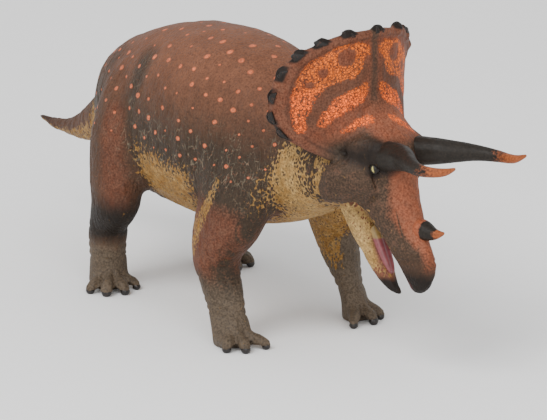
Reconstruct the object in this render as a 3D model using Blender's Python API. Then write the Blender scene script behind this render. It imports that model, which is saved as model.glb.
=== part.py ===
"""A moulded vinyl figure of a three-horned dinosaur, standing square with its head lowered and its mouth open.

Everything is laid out in millimetres, and made in metres. The animal faces +X and its left side is +Y. The layout's
origin is on the floor, midway between the four feet, and the finished figure is then set with the middle of its
footprint on the world origin.
"""

import math

import bmesh
import bpy
import numpy as np
from mathutils import Matrix, Vector

MM = 0.001
GAP = 0.3
LEFT, RIGHT = 1, -1
SIDE_NAMES = {LEFT: "left", RIGHT: "right"}

# Driving sizes of the whole figure
BACK_HEIGHT = 75.5
TOE_SPLAY = 34.0
FRONT_FEET = {LEFT: (29.7, 20.0), RIGHT: (32.6, -20.0)}
HIND_FEET = {LEFT: (-31.2, 14.6), RIGHT: (-28.6, -20.6)}

# Flesh is fused in two passes: the grain of each pass and its rounds of softening, then the triangles kept
BULK_GRAIN = 0.9
BULK_SOFTENING = 16
BULK_TRIANGLES = 60000
FLESH_GRAIN = 0.55
FLESH_SOFTENING = 5
FLESH_TRIANGLES = 6000
FRILL_GRAIN = 0.45
FRILL_SOFTENING = 3
FRILL_TRIANGLES = 1500
JAW_GRAIN = 0.4
JAW_SOFTENING = 3
JAW_TRIANGLES = 380

# Where the flesh is parted: middle of each cut, and the direction it faces
TAIL_CUTS = [
    ("tail_base", (-63.0, 0.0, 36.6), (-1.0, 0.0, -0.5)),
    ("tail_tip", (-88.0, 0.0, 27.8), (-1.0, 0.0, -0.15)),
]
HEAD_CUT = (-5.2, 0.0, 58.0)
NECK_CUT = (41.5, 0.0, 51.0)
BEAK_CUT = (19.0, 0.0, 31.5)
ANKLE_HEIGHT = 7.6

# The trunk, from the rump to the throat: along, top and bottom as shares of the back height, half width
TRUNK = [
    (-57.0, 0.612, 0.50, 4.5),
    (-54.5, 0.752, 0.43, 9.9),
    (-47.0, 0.832, 0.38, 14.9),
    (-36.0, 0.892, 0.33, 18.7),
    (-24.0, 0.949, 0.312, 21.0),
    (-10.0, 0.984, 0.315, 22.6),
    (4.0, 0.998, 0.32, 23.0),
    (16.0, 0.986, 0.345, 21.4),
    (27.0, 0.943, 0.38, 18.4),
    (37.0, 0.881, 0.425, 15.2),
    (46.0, 0.830, 0.48, 12.6),
    (55.0, 0.81, 0.54, 11.0),
    (62.0, 0.80, 0.60, 9.5),
]
TRUNK_WIDEST = 0.44
TRUNK_SQUARENESS = 2.15

# The tail: along, sideways, height of its middle, half width, half height
TAIL = [
    (-42.0, 0.0, 46.0, 11.0, 12.0),
    (-50.0, 0.0, 43.0, 9.4, 11.0),
    (-60.0, 0.0, 38.0, 7.2, 8.6),
    (-69.0, 0.0, 33.6, 5.6, 6.2),
    (-76.5, 0.0, 30.6, 4.3, 4.4),
    (-83.3, 0.0, 28.6, 3.1, 3.0),
    (-90.0, 0.0, 27.4, 2.3, 2.3),
    (-96.7, 0.0, 26.9, 1.6, 1.6),
    (-102.5, 0.0, 27.2, 0.9, 0.85),
    (-105.5, 0.0, 28.0, 0.4, 0.4),
]

# A leg, from its foot up: height, forward and outward of the foot, half width across the foot, half depth, turn
FRONT_LEG = [
    (-0.8, -0.2, 0.0, 5.6, 4.0, 1.0),
    (4.0, -1.0, 0.0, 5.5, 3.3, 1.0),
    (7.5, -2.6, 0.0, 5.3, 3.1, 1.0),
    (11.0, -4.4, -0.3, 5.3, 3.9, 1.0),
    (16.0, -7.0, -0.5, 5.6, 5.2, 0.9),
    (21.0, -9.0, -0.4, 6.4, 6.4, 0.7),
    (27.0, -8.4, -1.1, 7.4, 9.4, 0.4),
    (34.0, -6.4, -3.3, 8.0, 12.6, 0.1),
    (43.0, -4.8, -5.4, 7.2, 12.4, 0.0),
    (52.0, -2.4, -8.6, 6.0, 9.6, 0.0),
    (58.0, 0.0, -11.0, 4.0, 6.0, 0.0),
]
HIND_LEG = [
    (-0.8, -1.2, 0.0, 5.6, 5.2, 1.0),
    (4.0, -1.8, 0.0, 5.4, 4.9, 1.0),
    (9.0, -2.0, 0.0, 5.3, 5.0, 1.0),
    (14.5, -1.8, 0.2, 5.4, 5.7, 0.9),
    (20.0, -0.2, 0.4, 5.4, 6.6, 0.6),
    (26.0, 3.4, 0.8, 6.4, 9.0, 0.2),
    (34.0, 3.2, 0.2, 6.4, 9.4, 0.0),
    (43.0, 2.2, -1.6, 6.4, 10.4, 0.0),
    (52.0, 0.8, -5.0, 5.8, 9.8, 0.0),
    (60.0, 0.0, -9.0, 4.2, 7.4, 0.0),
]

# Toes round a foot: bearing from the foot's own heading towards the inner side, reach, half width, has a hoof
FRONT_TOES = [
    (73.0, 9.2, 1.8, True),
    (29.0, 7.4, 2.0, True),
    (-15.0, 6.4, 1.9, True),
    (-50.0, 5.0, 1.8, False),
    (-82.0, 4.6, 1.6, False),
]
HIND_TOES = [
    (70.0, 7.4, 1.7, True),
    (28.0, 8.7, 2.0, True),
    (-6.0, 9.3, 2.1, True),
    (-40.0, 8.8, 1.9, True),
]
TOE_RISE = 4.0
HOOF_LENGTH = 2.3

# The head turns and tips a little to the left about the nape, and hangs so that the snout points at the floor
NAPE = (59.7, 2.0, 55.0)
HEAD_TURN = 13.0
HEAD_TIP = 4.0

# The skull and upper jaw as level slices: height, back, front, half width, how far the front is pinched
SKULL = [
    (70.0, 0.8, 5.6, 4.2, 0.0),
    (66.4, -1.8, 9.2, 6.8, 0.05),
    (62.1, -3.4, 14.2, 8.8, 0.12),
    (57.4, -4.1, 16.8, 9.7, 0.22),
    (52.2, -3.3, 17.8, 8.7, 0.32),
    (47.1, -1.0, 19.2, 7.5, 0.38),
    (42.4, 3.8, 21.6, 6.1, 0.36),
    (38.1, 8.3, 23.2, 4.8, 0.3),
    (33.9, 11.5, 25.8, 3.9, 0.22),
    (30.2, 14.9, 27.0, 3.3, 0.2),
    (26.9, 18.0, 26.3, 2.5, 0.15),
    (24.3, 19.6, 24.8, 1.7, 0.1),
    (23.1, 20.6, 23.0, 0.9, 0.0),
]
BEAK_TOP = 31.0

# The cheek and its horn-like point, from inside the skull outward: forward, sideways, height, radii
CHEEK = [
    (7.9, 4.8, 52.7, 6.3, 6.3),
    (4.2, 8.0, 50.6, 5.4, 6.4),
    (1.6, 10.6, 48.4, 4.4, 5.6),
    (0.0, 12.6, 47.0, 3.0, 3.9),
    (-0.7, 14.0, 46.4, 1.5, 1.9),
]

# The lower jaw, from its hinge to the tip: forward, height, half width, half depth
LOWER_JAW = [
    (1.0, 47.1, 6.2, 5.2),
    (0.2, 42.4, 6.0, 4.8),
    (1.6, 38.6, 5.2, 4.3),
    (3.8, 35.0, 4.4, 3.8),
    (6.3, 31.4, 3.7, 3.2),
    (8.5, 28.0, 3.2, 2.8),
    (10.8, 25.2, 2.6, 2.2),
    (13.4, 22.9, 1.6, 1.3),
    (15.8, 21.6, 0.6, 0.45),
]
JAW_CUT = (9.6, 0.0, 26.6)

# The tongue lies in the jaw's trough: forward, height, half width, half depth
TONGUE = [
    (6.2, 37.6, 2.5, 2.0),
    (7.6, 34.6, 2.4, 1.5),
    (9.6, 31.2, 2.1, 1.2),
    (11.4, 28.3, 1.6, 0.9),
    (12.7, 26.3, 0.8, 0.5),
]

# The brow ridges, from behind, and the horns, from the root: forward, sideways, height, radius
BROW = [
    (1.5, 8.0, 58.8, 2.6),
    (6.3, 7.6, 58.9, 3.4),
    (11.0, 6.0, 58.2, 3.9),
    (14.5, 5.4, 57.4, 3.4),
]
BROW_HORN = [
    (6.8, 4.2, 56.4, 4.2),
    (11.0, 4.9, 57.2, 4.0),
    (14.5, 5.5, 57.9, 3.85),
    (18.0, 6.3, 58.4, 3.6),
    (21.0, 7.3, 58.8, 3.25),
    (24.8, 9.8, 59.1, 2.65),
    (28.6, 12.3, 59.2, 2.05),
    (33.0, 14.2, 59.1, 1.6),
    (37.1, 13.9, 59.3, 1.3),
    (40.7, 13.1, 60.0, 1.0),
    (43.9, 13.1, 61.5, 0.35),
]
NOSE_HORN = [
    (18.4, 0.0, 40.2, 3.9),
    (21.4, 0.0, 39.9, 3.5),
    (23.7, 0.0, 39.6, 2.6),
    (25.8, 0.0, 39.3, 1.6),
    (27.8, 0.0, 39.6, 1.0),
    (29.5, 0.0, 40.2, 0.35),
]

# The frill: its rim as an oval seen from the front, its midline and its sweep back to either side by height
FRILL_MIDDLE = 71.5
FRILL_HALF_WIDTH = 23.0
FRILL_RISE = 16.2
FRILL_DROP = 18.6
FRILL_SQUARENESS = 2.4
FRILL_SLOPE = [(52.0, 9.6, 0.058), (62.1, 9.2, 0.044), (72.4, 5.4, 0.029), (89.3, 3.5, 0.020)]
FRILL_RIM_THICKNESS = 2.0
FRILL_ROOT_THICKNESS = 4.6
SCUTE_ANGLES = (0.0, 19.0, 38.0, 56.0, 75.0, 92.0, 107.0, 121.0)
SCUTE_HALF_WIDTH = 2.2
SCUTE_ROOT = 0.93
# A knob from the frill outwards: distance past the rim, then its half sizes as shares of the half width and thickness
SCUTE_SHAPE = [(-1.6, 0.8, 0.62), (-0.4, 1.0, 0.62), (0.6, 0.72, 0.5), (1.2, 0.3, 0.2)]

EYE = (11.8, 7.9, 54.4)
EYE_RADIUS = 1.5

# The space each leg is taken from, as seen from the side: how far its middle lies ahead of the foot, half its length,
# the height where its sides start to lean in, and the height of its top
FRONT_REGION = (-4.5, 17.5, 24.0, 55.0)
HIND_REGION = (1.0, 15.0, 24.0, 56.0)
LIMB_INNER = 9.0

COLOURS = {
    "torso": (0.20, 0.115, 0.085),
    "neck": (0.36, 0.27, 0.15),
    "tail": (0.20, 0.14, 0.10),
    "head": (0.12, 0.085, 0.07),
    "beak": (0.04, 0.032, 0.03),
    "jaw": (0.42, 0.31, 0.17),
    "tongue": (0.55, 0.24, 0.24),
    "frill": (0.36, 0.13, 0.07),
    "horn": (0.035, 0.03, 0.03),
    "eye": (0.70, 0.62, 0.25),
    "leg": (0.17, 0.10, 0.075),
    "foot": (0.09, 0.07, 0.06),
}


def clear_scene():
    for old in list(bpy.data.objects):
        bpy.data.objects.remove(old)


def vinyl(name, colour, roughness):
    made = bpy.data.materials.new(name)
    made.use_nodes = True
    shader = made.node_tree.nodes["Principled BSDF"]
    shader.inputs["Base Color"].default_value = (*colour, 1.0)
    shader.inputs["Roughness"].default_value = roughness
    return made


def mesh_object(name, points, faces):
    mesh = bpy.data.meshes.new(name)
    mesh.from_pydata([Vector(p) * MM for p in points], [], faces)
    made = bpy.data.objects.new(name, mesh)
    bpy.context.scene.collection.objects.link(made)
    return made


def smooth_rows(rows, per_span):
    """Rows of numbers, filled in along a smooth curve that passes through each row."""
    rows = np.array(rows, float)
    ends = np.vstack([2 * rows[0] - rows[1], rows, 2 * rows[-1] - rows[-2]])
    filled = []
    for i in range(1, len(ends) - 2):
        before, start, end, after = ends[i - 1 : i + 3]
        for t in np.arange(per_span) / per_span:
            bend = 2 * before - 5 * start + 4 * end - after
            filled.append(
                start + 0.5 * t * (end - before + t * (bend + t * (3 * (start - end) + after - before)))
            )
    return np.array([*filled, rows[-1]])


def loft(name, rings):
    """A closed body through rings of equally many points, each end closed on its ring's middle."""
    count = len(rings[0])
    points = [p for ring in rings for p in ring]
    faces = []
    for i in range(len(rings) - 1):
        for j in range(count):
            k = (j + 1) % count
            faces.append((i * count + j, i * count + k, (i + 1) * count + k, (i + 1) * count + j))
    for ring, start, turned in ((rings[0], 0, True), (rings[-1], (len(rings) - 1) * count, False)):
        middle = len(points)
        points.append(np.mean(ring, axis=0))
        for j in range(count):
            a, b = start + j, start + (j + 1) % count
            faces.append((middle, b, a) if turned else (middle, a, b))
    made = mesh_object(name, points, faces)
    face_outwards(made)
    return made


def face_outwards(obj):
    shape = bmesh.new()
    shape.from_mesh(obj.data)
    bmesh.ops.recalc_face_normals(shape, faces=shape.faces)
    shape.to_mesh(obj.data)
    shape.free()


def oval(centre, side, up, half_width, rise, drop, squareness=2.0, pinch=0.0, sides=28):
    """A ring round centre: rise and drop are its reach along up and against it, and pinch narrows its upper end."""
    ring = []
    for angle in np.arange(sides) * math.tau / sides:
        across = math.copysign(abs(math.cos(angle)) ** (2 / squareness), math.cos(angle))
        along = math.copysign(abs(math.sin(angle)) ** (2 / squareness), math.sin(angle))
        width = half_width * (1 - pinch * along)
        ring.append(centre + side * across * width + up * along * (rise if along > 0 else drop))
    return ring


def tube(name, line, widths, depths, heading, sides=24):
    """A closed body round a line. Its depth lies along heading, or one heading for each point of the line."""
    line = np.array(line, float)
    headings = np.broadcast_to(np.array(heading, float), line.shape)
    rings = []
    for i, centre in enumerate(line):
        run = line[min(i + 1, len(line) - 1)] - line[max(i - 1, 0)]
        run /= np.linalg.norm(run)
        deep = headings[i] - run * (headings[i] @ run)
        deep /= np.linalg.norm(deep)
        rings.append(oval(centre, np.cross(run, deep), deep, widths[i], depths[i], depths[i], sides=sides))
    return loft(name, rings)


def only(obj):
    bpy.ops.object.select_all(action="DESELECT")
    obj.select_set(True)
    bpy.context.view_layer.objects.active = obj


def apply_modifiers(obj):
    only(obj)
    for modifier in list(obj.modifiers):
        bpy.ops.object.modifier_apply(modifier=modifier.name)
    return obj


def fuse(name, pieces, grain, softening, triangles):
    """One body from overlapping pieces, with soft fillets where they meet, brought down to so many triangles."""
    only(pieces[0])
    for piece in pieces:
        piece.select_set(True)
    if len(pieces) > 1:
        bpy.ops.object.join()
    fused = bpy.context.object
    fused.name = name
    remesh = fused.modifiers.new("fuse", "REMESH")
    remesh.mode = "VOXEL"
    remesh.voxel_size = grain * MM
    soften = fused.modifiers.new("soften", "SMOOTH")
    soften.factor = 0.5
    soften.iterations = softening
    apply_modifiers(fused)
    keep_largest(fused)
    thin = fused.modifiers.new("thin", "DECIMATE")
    thin.ratio = triangles / (2 * len(fused.data.polygons))
    thin.use_collapse_triangulate = True
    return apply_modifiers(fused)


def keep_largest(obj):
    """Drops all but the largest closed surface of a mesh."""
    shape = bmesh.new()
    shape.from_mesh(obj.data)
    left, groups = set(shape.verts), []
    while left:
        group, edge = set(), [left.pop()]
        while edge:
            vertex = edge.pop()
            group.add(vertex)
            for link in vertex.link_edges:
                other = link.other_vert(vertex)
                if other in left:
                    left.discard(other)
                    edge.append(other)
        groups.append(group)
    groups.sort(key=len)
    bmesh.ops.delete(shape, geom=[v for group in groups[:-1] for v in group], context="VERTS")
    shape.to_mesh(obj.data)
    shape.free()


def combine(obj, other, operation):
    modifier = obj.modifiers.new(operation.lower(), "BOOLEAN")
    modifier.operation = operation
    modifier.object = other
    apply_modifiers(obj)
    keep_largest(obj)
    return obj


def copy_of(obj, name):
    made = obj.copy()
    made.data = obj.data.copy()
    made.name = name
    bpy.context.scene.collection.objects.link(made)
    return made


def swollen(obj, name, by=GAP):
    """A copy that stands proud of obj all round, for cutting the gap to a neighbour."""
    made = copy_of(obj, name)
    push = made.modifiers.new("swell", "DISPLACE")
    push.strength = by * MM
    push.mid_level = 0.0
    return apply_modifiers(made)


def cut_clear(obj, neighbour, by=GAP):
    """Cuts obj back from its neighbour, leaving the gap between them."""
    cutter = swollen(neighbour, "cutter", by)
    combine(obj, cutter, "DIFFERENCE")
    bpy.data.objects.remove(cutter)


def slab(name, centre, normal, half_sizes, thickness=GAP):
    """A thin plate across normal, for parting a body in two."""
    bpy.ops.mesh.primitive_cube_add(size=1)
    made = bpy.context.object
    made.name = name
    made.data.transform(Matrix.Diagonal((thickness * MM, 2 * half_sizes[0] * MM, 2 * half_sizes[1] * MM, 1)))
    made.data.transform(Vector(normal).to_track_quat("X", "Z").to_matrix().to_4x4())
    made.data.transform(Matrix.Translation(Vector(centre) * MM))
    return made


def prism(name, outline, inner, outer):
    """A side-view outline of (along, height) points, run from y inner to y outer."""
    rings = [[np.array((x, y, z)) for x, z in outline] for y in (inner, outer)]
    return loft(name, rings)


def split(obj, cutter, far_name, toward):
    """Parts obj with cutter. The piece that lies furthest along toward takes far_name, and obj keeps the rest."""
    modifier = obj.modifiers.new("part", "BOOLEAN")
    modifier.operation = "DIFFERENCE"
    modifier.object = cutter
    apply_modifiers(obj)
    bpy.data.objects.remove(cutter)
    others = set(bpy.data.objects) - {obj}
    bpy.ops.object.mode_set(mode="EDIT")
    bpy.ops.mesh.select_all(action="SELECT")
    bpy.ops.mesh.separate(type="LOOSE")
    bpy.ops.object.mode_set(mode="OBJECT")
    pieces = sorted(set(bpy.data.objects) - others, key=lambda o: len(o.data.vertices))
    for scrap in pieces[:-2]:
        bpy.data.objects.remove(scrap)
    name = obj.name
    pieces = sorted(pieces[-2:], key=lambda o: middle_of(o).dot(Vector(toward)))
    for piece in pieces:
        piece.name = "parting"
    pieces[1].name = far_name
    pieces[0].name = name
    return pieces


def middle_of(obj):
    return sum((v.co for v in obj.data.vertices), Vector()) / len(obj.data.vertices)


def head_point(forward, sideways, height):
    """A place on the head, from its own forward and sideways distances from the nape and its height above the floor."""
    tip = math.radians(HEAD_TIP)
    lift = height - NAPE[2]
    across = sideways * math.cos(tip) + lift * math.sin(tip)
    turn = math.radians(HEAD_TURN)
    return np.array(
        (
            NAPE[0] + forward * math.cos(turn) - across * math.sin(turn),
            NAPE[1] + forward * math.sin(turn) + across * math.cos(turn),
            NAPE[2] + lift * math.cos(tip) - sideways * math.sin(tip),
        )
    )


def head_direction(forward, sideways, height):
    return head_point(forward, sideways, height) - head_point(0, 0, 0)


def make_trunk():
    rings = []
    for along, top, bottom, half_width in smooth_rows(TRUNK, 4):
        top, bottom = top * BACK_HEIGHT, bottom * BACK_HEIGHT
        widest = bottom + TRUNK_WIDEST * (top - bottom)
        rings.append(
            oval(
                np.array((along, 0.0, widest)),
                np.array((0.0, 1.0, 0.0)),
                np.array((0.0, 0.0, 1.0)),
                half_width,
                top - widest,
                widest - bottom,
                TRUNK_SQUARENESS,
                sides=40,
            )
        )
    return loft("trunk", rings)


def make_tail():
    rows = smooth_rows(TAIL, 3)
    return tube("tail", rows[:, :3], rows[:, 3], rows[:, 4], (0.0, 0.0, 1.0))


def foot_place(front, side):
    return np.array((*(FRONT_FEET if front else HIND_FEET)[side], 0.0))


def heading(turn, side):
    """The level direction that lies turn degrees from straight ahead, towards that side of the animal."""
    angle = math.radians(turn)
    return np.array((math.cos(angle), side * math.sin(angle), 0.0))


def make_leg(front, side):
    foot = foot_place(front, side)
    rows = smooth_rows(FRONT_LEG if front else HIND_LEG, 3)
    line = [foot + np.array((row[1], side * row[2], row[0])) for row in rows]
    headings = [heading(TOE_SPLAY * row[5], side) for row in rows]
    return tube("leg", line, rows[:, 3], rows[:, 4], headings)


def make_toe(foot, bearing, reach, half_width, side):
    """A toe that runs down from the instep to the floor, flat underneath."""
    ahead = heading(TOE_SPLAY - bearing, side)
    shape = [
        (0.5, TOE_RISE + 0.6, half_width),
        (reach * 0.45, TOE_RISE - 1.2, half_width * 1.05),
        (reach * 0.78, 2.1, half_width),
        (reach, 1.4, half_width * 0.78),
    ]
    rows = smooth_rows(shape, 3)
    line = [foot + ahead * row[0] + np.array((0.0, 0.0, row[1])) for row in rows]
    return tube("toe", line, rows[:, 2], rows[:, 2] * 0.9, (0.0, 0.0, 1.0), sides=16)


def make_hoof(foot, bearing, reach, half_width, side):
    """A blunt nail on the end of a toe, just clear of the floor."""
    ahead = heading(TOE_SPLAY - bearing, side)
    line, widths, depths = [], [], []
    for along, share in ((-1.0, 0.50), (-0.45, 0.74), (0.12, 0.72), (0.42, 0.42)):
        widths.append(half_width * share)
        depths.append(half_width * share * 0.85)
        line.append(foot + ahead * (reach + HOOF_LENGTH * along))
        line[-1][2] = 0.12 + half_width * 0.63 - 0.5 * along
    return tube("hoof", line, widths, depths, (0.0, 0.0, 1.0), sides=8)


def make_skull():
    rings = []
    for height, back, front, half_width, pinch in smooth_rows(SKULL, 3):
        rings.append(
            oval(
                head_point((back + front) / 2, 0, height),
                head_direction(0, 1, 0),
                head_direction(1, 0, 0),
                half_width,
                (front - back) / 2,
                (front - back) / 2,
                2.2,
                pinch,
            )
        )
    return loft("skull", rings)


def make_cheek(side):
    rows = smooth_rows(CHEEK, 3)
    line = [head_point(row[0], side * row[1], row[2]) for row in rows]
    return tube("cheek", line, rows[:, 4], rows[:, 3], head_direction(1, 0, 0), sides=16)


def make_brow(side):
    """The bony ridge over the eye, which carries the brow horn."""
    rows = smooth_rows(BROW, 3)
    line = [head_point(row[0], side * row[1], row[2]) for row in rows]
    return tube("brow", line, rows[:, 3], rows[:, 3], (0.0, 0.0, 1.0), sides=16)


def jaw_tube(name, rows, per_span=3):
    rows = smooth_rows(rows, per_span)
    line = [head_point(row[0], 0, row[1]) for row in rows]
    return tube(name, line, rows[:, 2], rows[:, 3], head_direction(1, 0, 0), sides=12)


def horn(name, rows, side):
    rows = smooth_rows(rows, 2)
    line = [head_point(row[0], side * row[1], row[2]) for row in rows]
    return tube(name, line, rows[:, 3], rows[:, 3], (0.0, 0.0, 1.0), sides=10)


def frill_front(sideways, height):
    """How far forward the frill's front face stands at a place on it."""
    heights, middles, sweeps = np.array(FRILL_SLOPE).T
    middle = np.interp(height, heights, middles)
    sweep = np.interp(height, heights, sweeps)
    return middle - sweep * sideways**2


def frill_rim(angle, grow=1.0):
    """A place on the rim by its angle from the top, as sideways distance and height."""
    across = math.copysign(abs(math.sin(angle)) ** (2 / FRILL_SQUARENESS), math.sin(angle))
    upward = math.copysign(abs(math.cos(angle)) ** (2 / FRILL_SQUARENESS), math.cos(angle))
    reach = FRILL_RISE if upward > 0 else FRILL_DROP
    return across * FRILL_HALF_WIDTH * grow, FRILL_MIDDLE + upward * reach * grow


def make_frill_shield():
    """The shield as rings that run over its front face, round the rim and back over its rear face."""
    sides = 56
    shares = [0.12, 0.3, 0.5, 0.7, 0.88, 0.97, 1.0]
    rings = []
    for face, order in ((0.0, shares), (1.0, shares[::-1])):
        for share in order:
            thickness = FRILL_ROOT_THICKNESS + (FRILL_RIM_THICKNESS - FRILL_ROOT_THICKNESS) * share
            inset = 0.25 if share == 1.0 else 0.0
            depth = thickness * (inset + face * (1 - 2 * inset))
            ring = []
            for angle in np.arange(sides) * math.tau / sides:
                sideways, height = frill_rim(angle, share)
                ring.append(head_point(frill_front(sideways, height) - depth, sideways, height))
            rings.append(ring)
    return loft("shield", rings)


def scute_place(angle, grow):
    sideways, height = frill_rim(angle, grow)
    return head_point(frill_front(sideways, height) - FRILL_RIM_THICKNESS / 2, sideways, height)


def make_scute(angle):
    """One of the blunt knobs that edge the frill."""
    rim = scute_place(angle, 1.0)
    outward = rim - scute_place(angle, SCUTE_ROOT)
    outward /= np.linalg.norm(outward)
    line, widths, depths = [], [], []
    for along, width, depth in SCUTE_SHAPE:
        line.append(rim + outward * along)
        widths.append(SCUTE_HALF_WIDTH * width)
        depths.append(FRILL_RIM_THICKNESS * depth)
    return tube("scute", line, widths, depths, head_direction(1, 0, 0), sides=8)


def make_flesh():
    bulk, detail = [make_trunk(), make_tail()], [make_skull()]
    for side in (LEFT, RIGHT):
        detail += [make_cheek(side), make_brow(side)]
        for front, toes in ((True, FRONT_TOES), (False, HIND_TOES)):
            foot = foot_place(front, side)
            bulk.append(make_leg(front, side))
            detail += [make_toe(foot, *toe[:3], side) for toe in toes]
    bulk = fuse("bulk", bulk, BULK_GRAIN, BULK_SOFTENING, BULK_TRIANGLES)
    flesh = fuse("torso", [bulk, *detail], FLESH_GRAIN, FLESH_SOFTENING, FLESH_TRIANGLES)
    flatten_soles(flesh)
    return flesh


def flatten_soles(flesh):
    """Trims the feet level with the floor."""
    bpy.ops.mesh.primitive_cube_add(size=1, location=(0.0, 0.0, -0.5))
    floor = bpy.context.object
    combine(flesh, floor, "DIFFERENCE")
    bpy.data.objects.remove(floor)


def make_frill():
    pieces = [make_frill_shield()]
    for degrees in SCUTE_ANGLES:
        for side in (LEFT, RIGHT) if degrees else (LEFT,):
            pieces.append(make_scute(side * math.radians(degrees)))
    return fuse("frill", pieces, FRILL_GRAIN, FRILL_SOFTENING, FRILL_TRIANGLES)


def limb_region(front, side, by=0.0):
    """The block of space that a leg is taken from, round at the top, and grown by so much."""
    ahead, half_length, shoulder, top = FRONT_REGION if front else HIND_REGION
    middle = foot_place(front, side)[0] + ahead
    outline = [(middle - half_length - by, -3.0)]
    for angle in np.linspace(math.pi, 0.0, 13):
        outline.append(
            (
                middle + (half_length + by) * math.cos(angle),
                shoulder + (top - shoulder + by) * math.sin(angle),
            )
        )
    outline.append((middle + half_length + by, -3.0))
    return prism("region", outline, side * (LIMB_INNER - by), side * 60.0)


def part_legs(flesh):
    """Takes each leg and its foot out of the flesh, and puts hooves on the foot."""
    for front, toes in ((True, FRONT_TOES), (False, HIND_TOES)):
        for side in (LEFT, RIGHT):
            end = ("front_" if front else "hind_") + SIDE_NAMES[side]
            leg = copy_of(flesh, "leg_" + end)
            region = limb_region(front, side)
            combine(leg, region, "INTERSECT")
            hole = limb_region(front, side, GAP)
            combine(flesh, hole, "DIFFERENCE")
            bpy.data.objects.remove(region)
            bpy.data.objects.remove(hole)
            foot = foot_place(front, side)
            ankle = slab("ankle", (foot[0], foot[1], ANKLE_HEIGHT), (0, 0, 1), (20, 20))
            foot_node = split(leg, ankle, "foot_" + end, (0, 0, -1))[1]
            for bearing, reach, half_width, hoofed in toes:
                if hoofed:
                    hoof = make_hoof(foot, bearing, reach, half_width, side)
                    combine(foot_node, hoof, "UNION")
                    bpy.data.objects.remove(hoof)


def part_head(flesh):
    """Takes the tail, the neck and the head out of the flesh, then the beak and the eyes out of the head."""
    body = flesh
    for name, centre, normal in TAIL_CUTS:
        body = split(body, slab("cut", centre, normal, (16, 16)), name, (-1, 0, 0))[1]
    neck = split(flesh, slab("cut", NECK_CUT, (1, 0, 0.12), (22, 26)), "neck", (1, 0, 0))[1]
    plane = slab("cut", head_point(*HEAD_CUT), head_direction(1, 0, -0.1), (24, 22))
    head = split(neck, plane, "head", (1, 0, 0))[1]
    plane = slab("cut", head_point(*BEAK_CUT), head_direction(0.3, 0, -0.95), (12, 12))
    beak = split(head, plane, "beak_upper", (0, 0, -1))[1]
    return neck, head, beak


def make_eye(head, side):
    """An eyeball in a socket of its own."""
    centre = head_point(EYE[0], side * EYE[1], EYE[2])
    for name, radius in (("socket", EYE_RADIUS + GAP), ("eye_" + SIDE_NAMES[side], EYE_RADIUS)):
        bpy.ops.mesh.primitive_uv_sphere_add(segments=12, ring_count=7, radius=radius * MM)
        ball = bpy.context.object
        ball.name = name
        ball.data.transform(Matrix.Translation(Vector(centre) * MM))
        if name == "socket":
            combine(head, ball, "DIFFERENCE")
            bpy.data.objects.remove(ball)


def finish_nodes():
    """Sets the middle of the footprint on the origin, and gives each node its own vinyl."""
    nodes = [o for o in bpy.data.objects if o.type == "MESH"]
    corners = np.array([v.co for o in nodes for v in o.data.vertices])
    low, high = corners.min(axis=0), corners.max(axis=0)
    shift = Vector((-(low[0] + high[0]) / 2, -(low[1] + high[1]) / 2, -low[2]))
    for node in nodes:
        node.data.transform(Matrix.Translation(shift))
        node.data.materials.clear()
        family = next(key for key in COLOURS if node.name.startswith(key))
        node.data.materials.append(vinyl("vinyl_" + node.name, COLOURS[family], 0.55))
    return shift


def main():
    clear_scene()
    flesh = make_flesh()
    part_legs(flesh)
    neck, head, beak = part_head(flesh)
    frill = make_frill()
    for neighbour in (head, neck, flesh):
        cut_clear(frill, neighbour)
    for side in (LEFT, RIGHT):
        made = horn("horn_brow_" + SIDE_NAMES[side], BROW_HORN, side)
        cut_clear(made, head)
        cut_clear(made, frill)
        make_eye(head, side)
    cut_clear(horn("horn_nose", NOSE_HORN, LEFT), head)
    jaw = fuse("jaw_lower", [jaw_tube("jaw_lower", LOWER_JAW)], JAW_GRAIN, JAW_SOFTENING, JAW_TRIANGLES)
    cut_clear(jaw, head)
    cut_clear(jaw, neck)
    tongue = jaw_tube("tongue", TONGUE)
    plane = slab("cut", head_point(*JAW_CUT), head_direction(0.7, 0, -0.7), (12, 12))
    lower_beak = split(jaw, plane, "beak_lower", (0, 0, -1))[1]
    for neighbour in (jaw, lower_beak, head, beak):
        cut_clear(tongue, neighbour)
    return finish_nodes()


LAYOUT_ORIGIN = main()
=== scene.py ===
"""The looks of a moulded vinyl figure of a three-horned dinosaur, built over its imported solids.

The solids are copied, fused into a hide without seams, shaped further and painted. Horns, frill knobs,
nails, eyes and the tongue are pieces of their own. Sizes are in millimetres in the tables below, and in
metres in the scene.
"""

import math

import bmesh
import bpy
import numpy as np
from bpy.props import FloatProperty, FloatVectorProperty, PointerProperty
from mathutils import Matrix, Vector
from mathutils.bvhtree import BVHTree
from mathutils.kdtree import KDTree


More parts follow.
